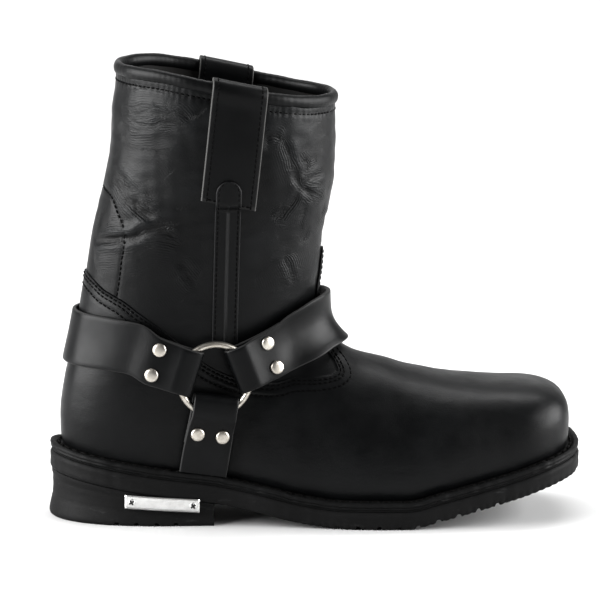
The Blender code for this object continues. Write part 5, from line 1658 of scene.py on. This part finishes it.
def leather(name, dark, light, rough, grain, wrinkled, edge=None):
    """Black leather: fine grain, soft mottling, lighter where the skin is lifted, painted shade near black
    down in its creases and stitch channels, and pale cut edges.
    """
    make = Finish(name)
    broad = make.noise(26.0, 4.0, 0.55)
    fine = make.noise(1500.0, 3.0, 0.6)
    colour = make.blended(make.ranged(broad, 0.35, 0.68), dark, light)
    roughness = make.ranged(make.noise(60.0, 5.0, 0.6), 0.3, 0.7, rough - 0.06, rough + 0.07)
    layers = [(make.pebbles(950.0, 420.0), 0.00018, grain * 0.30), (fine, 0.00010, grain * 0.35)]
    if wrinkled:
        lift = make.stored("lift")
        # Lighter where the skin is lifted
        colour = make.blended(make.ranged(lift, 0.05, 0.5), colour, tuple(c * 1.6 for c in light))
        # Painted shade: near black down in the creases and stitch channels, where the skin sinks
        colour = make.blended(make.ranged(lift, -0.15, -0.9, 0.0, 0.75), colour, (0.0010, 0.0010, 0.0012))
        worked = make.ranged(make.stored("worked"), 0.05, 0.8, 0.18, 1.0)
        folds = make.noise(62.0, 4.0, 0.55, (0.6, 0.6, 1.3))
        # Sharp lines where a noise crosses its middle
        lines = make.maths("SUBTRACT", make.noise(230.0, 5.0, 0.60, (0.55, 0.55, 1.25)), 0.5)
        sharp = make.maths("MULTIPLY", make.ranged(make.maths("ABSOLUTE", lines), 0.0, 0.09), worked)
        # Ripples that follow the creases, bent by the folds and broken up
        phase = make.maths("MULTIPLY", make.stored("beside"), 4.4)
        phase = make.maths("ADD", phase, make.maths("MULTIPLY", folds, 16.0))
        ripple = make.maths("MULTIPLY", make.maths("SINE", phase), worked)
        broken = make.noise(95.0, 3.0, 0.5, (0.6, 0.6, 1.2))
        ripple = make.maths("MULTIPLY", ripple, make.ranged(broken, 0.38, 0.62, 0.1, 1.0))
        layers += [(sharp, 0.00026, 0.36), (folds, 0.0016, 0.16), (ripple, 0.00016, 0.55)]
    else:
        scratch = make.noise(900.0, 2.0, 0.5, (0.08, 1.0, 1.0))
        layers += [(make.noise(55.0, 3.0, 0.5), 0.0012, 0.14), (scratch, 0.00006, 0.30)]
    if edge:
        cut = make.stored("edge")
        colour = make.blended(make.ranged(cut, 0.35, 1.0), colour, edge)
        roughness = make.maths("ADD", roughness, make.ranged(cut, 0.3, 1.0, 0.0, 0.18))
    return make.shaded({"Base Color": colour, "Roughness": roughness, "Specular IOR Level": 0.22}, layers)


def rubber(name, colour, rough, scuffs):
    """Matte black rubber with a dusty bloom and scuffs."""
    make = Finish(name)
    bloom = make.noise(40.0, 5.0, 0.6)
    speck = make.noise(1300.0, 3.0, 0.7)
    scratch = make.noise(260.0, 4.0, 0.7, (0.35, 1.0, 1.6))
    shade = make.blended(make.ranged(bloom, 0.4, 0.75), colour, tuple(c * 1.9 for c in colour))
    shade = make.blended(make.ranged(scratch, 0.62, 0.74, 0.0, scuffs), shade, (0.055, 0.055, 0.056))
    roughness = make.ranged(speck, 0.3, 0.7, rough - 0.08, rough + 0.10)
    return make.shaded({"Base Color": shade, "Roughness": roughness, "Specular IOR Level": 0.20},
                       [(speck, 0.00012, 0.45), (bloom, 0.0008, 0.25), (scratch, 0.0003, 0.25)])


def thread(name, colour):
    """Waxed twisted thread."""
    make = Finish(name)
    twist = make.noise(2600.0, 2.0, 0.5, (1.0, 1.0, 0.35))
    shade = make.blended(twist, tuple(c * 0.6 for c in colour), tuple(c * 1.5 for c in colour))
    return make.shaded({"Base Color": shade, "Roughness": make.ranged(twist, 0.3, 0.7, 0.45, 0.65),
                        "Specular IOR Level": 0.08}, [(twist, 0.0001, 0.6)])


def metal(name, bright, dull, rough):
    """Antique nickel: brushed, with darker tarnish in patches."""
    make = Finish(name)
    patch = make.noise(210.0, 5.0, 0.65)
    brush = make.noise(1900.0, 2.0, 0.5, (0.15, 1.0, 1.0))
    shade = make.blended(make.ranged(patch, 0.36, 0.70), bright, dull)
    roughness = make.ranged(patch, 0.3, 0.75, rough, rough + 0.16)
    return make.shaded({"Base Color": shade, "Roughness": roughness, "Metallic": 1.0},
                       [(brush, 0.00005, 0.35), (patch, 0.0002, 0.12)])


def board(name):
    """Insole cover of pressed board, darker in patches."""
    make = Finish(name)
    fleck = make.noise(700.0, 4.0, 0.6)
    broad = make.ranged(make.noise(30.0, 3.0, 0.5), 0.4, 0.7, 0.0, 0.6)
    shade = make.blended(make.ranged(fleck, 0.35, 0.65), (0.055, 0.045, 0.036), (0.105, 0.088, 0.070))
    shade = make.blended(broad, shade, (0.035, 0.030, 0.026))
    return make.shaded({"Base Color": shade, "Roughness": 0.82}, [(fleck, 0.0002, 0.4)])


def plain(name, colour, rough):
    """A matte material with a faint unevenness."""
    make = Finish(name)
    shade = make.blended(make.noise(3.0, 2.0, 0.5), tuple(c * 0.99 for c in colour), colour)
    return make.shaded({"Base Color": shade, "Roughness": rough})


def paper(name):
    """White studio paper, greyer well in front of the boot, where no light falls."""
    make = Finish(name)
    y = make.node("SeparateXYZ", {"Vector": make.place}, "Y")
    shade = make.ranged(y, SHADE_FROM[0], SHADE_TO[0], SHADE_FROM[1], SHADE_TO[1])
    return make.shaded({"Base Color": shade, "Roughness": 0.85})


def area_light(name, place, aim, size, power):
    """Soft rectangular light."""
    light = bpy.data.lights.new(name, "AREA")
    light.shape = "RECTANGLE"
    light.size, light.size_y = size
    light.energy = power
    made = bpy.data.objects.new(name, light)
    made.location = place
    made.rotation_euler = (Vector(aim) - Vector(place)).to_track_quat("-Z", "Y").to_euler()
    bpy.context.scene.collection.objects.link(made)


def studio():
    """Pale seamless floor and backdrop, and soft lights on both sides, above and on the backdrop."""
    profile = [(PAPER_FRONT, 0.0)] + [(y, 0.0) for y in np.linspace(-3.0, PAPER_BACK, 8)]
    for turn in np.linspace(0.0, math.pi / 2.0, 14)[1:]:
        profile.append((PAPER_BACK + PAPER_ROUND * math.sin(turn),
                        PAPER_ROUND - PAPER_ROUND * math.cos(turn)))
    profile.append((PAPER_BACK + PAPER_ROUND, PAPER_TOP))
    points = [(x, y, z) for y, z in profile for x in (-PAPER_HALF, PAPER_HALF)]
    faces = [(2 * i, 2 * i + 1, 2 * i + 3, 2 * i + 2) for i in range(len(profile) - 1)]
    mesh = bpy.data.meshes.new("backdrop")
    mesh.from_pydata(points, [], faces)
    mesh.materials.append(paper("studio_paper"))
    mesh.shade_smooth()
    made = bpy.data.objects.new("backdrop", mesh)
    bpy.context.scene.collection.objects.link(made)
    world = bpy.data.worlds.new("studio")
    bpy.context.scene.world = world
    world.use_nodes = True
    world.node_tree.nodes["Background"].inputs["Color"].default_value = (1.0, 1.0, 1.0, 1.0)
    world.node_tree.nodes["Background"].inputs["Strength"].default_value = WORLD_STRENGTH
    for name, facts in LIGHTS.items():
        area_light(name, *facts)


def photo_camera():
    """Camera at the photograph's viewing angle."""
    azimuth, elevation, roll = (math.radians(a) for a in (CAMERA_AZIMUTH, CAMERA_ELEVATION, CAMERA_ROLL))
    back = Vector((math.sin(azimuth) * math.cos(elevation), -math.cos(azimuth) * math.cos(elevation),
                   math.sin(elevation)))
    right = (-back).cross(Vector((0.0, 0.0, 1.0))).normalized()
    up = right.cross(-back)
    turned_right = right * math.cos(roll) + up * math.sin(roll)
    turned_up = up * math.cos(roll) - right * math.sin(roll)
    lens = bpy.data.cameras.new("photo_camera")
    lens.sensor_width = CAMERA_SENSOR
    lens.lens = CAMERA_LENS
    lens.clip_end = 40.0
    made = bpy.data.objects.new("photo_camera", lens)
    matrix = Matrix((turned_right, turned_up, back)).transposed().to_4x4()
    matrix.translation = Vector(CAMERA_TARGET) + back * CAMERA_DISTANCE
    made.matrix_world = matrix
    bpy.context.scene.collection.objects.link(made)
    bpy.context.scene.camera = made


def main():
    """Builds every piece and its finish, the studio and the camera."""
    black = leather("black_leather_grain", (0.0016, 0.0018, 0.0021), (0.0036, 0.0040, 0.0044),
                    0.39, 1.0, True)
    lining_skin = leather("lining_leather", (0.006, 0.006, 0.006), (0.012, 0.011, 0.010), 0.62, 0.8, False)
    strap_skin = leather("strap_leather_smooth", (0.0016, 0.0018, 0.0021), (0.0034, 0.0038, 0.0042),
                         0.37, 0.6, False, (0.032, 0.032, 0.032))
    pull_skin = leather("pull_leather", (0.0012, 0.0014, 0.0017), (0.0024, 0.0027, 0.0030),
                        0.42, 0.6, False, (0.070, 0.069, 0.067))
    trim_skin = leather("trim_leather", (0.0015, 0.0017, 0.0020), (0.0034, 0.0037, 0.0040),
                        0.42, 0.9, False, (0.016, 0.016, 0.017))
    welt_rubber = rubber("welt_rubber", (0.0022, 0.0023, 0.0024), 0.58, 0.35)
    sole_rubber = rubber("sole_rubber", (0.0032, 0.0032, 0.0033), 0.62, 0.45)
    black_thread = thread("black_thread", (0.0006, 0.0006, 0.0007))
    welt_thread = thread("welt_thread", (0.0040, 0.0038, 0.0036))
    nickel = metal("antique_nickel_brushed", (0.66, 0.63, 0.58), (0.42, 0.39, 0.34), 0.30)
    plate_metal = metal("plate_nickel", (0.86, 0.86, 0.85), (0.72, 0.72, 0.71), 0.36)
    # Flat dark finish: painted shade in the screws' slots
    slot_shade_finish = plain("screw_slot_painted_shade", (0.02, 0.02, 0.02), 0.6)
    upper(black, lining_skin)
    stitches(black_thread)
    collar_roll(trim_skin)
    straps = bands()
    for strap in ("rear", "front"):
        long_strap(f"{strap}_harness", f"{strap}_strap", straps[strap], strap_skin)
    for side, side_name in ((OUTER, "outer"), (INNER, "inner")):
        low_strap(f"low_harness_{side_name}", f"low_strap_{side_name}", straps["low"], side, strap_skin)
        ring(f"harness_ring_{side_name}", f"ring_{side_name}", side, nickel)
        pull_strap(f"pull_tab_{side_name}", f"pull_strap_{side_name}", side, pull_skin, black_thread)
        seam_tape(f"side_seam_{side_name}", f"seam_tape_{side_name}", side, trim_skin, black_thread)
    rivets(straps, nickel)
    vamp_tongue(trim_skin, black_thread)
    welt(welt_rubber, welt_thread)
    outsole(sole_rubber)
    heel(sole_rubber)
    insole(board("insole_board_flecked"))
    badge(plate_metal, slot_shade_finish)
    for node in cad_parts.values():
        for finish_slot in node.material_slots:
            finish_slot.material = sole_rubber
    studio()
    photo_camera()
    bpy.context.scene.view_settings.view_transform = "Standard"
    bpy.context.scene.view_settings.gamma = GAMMA


main()
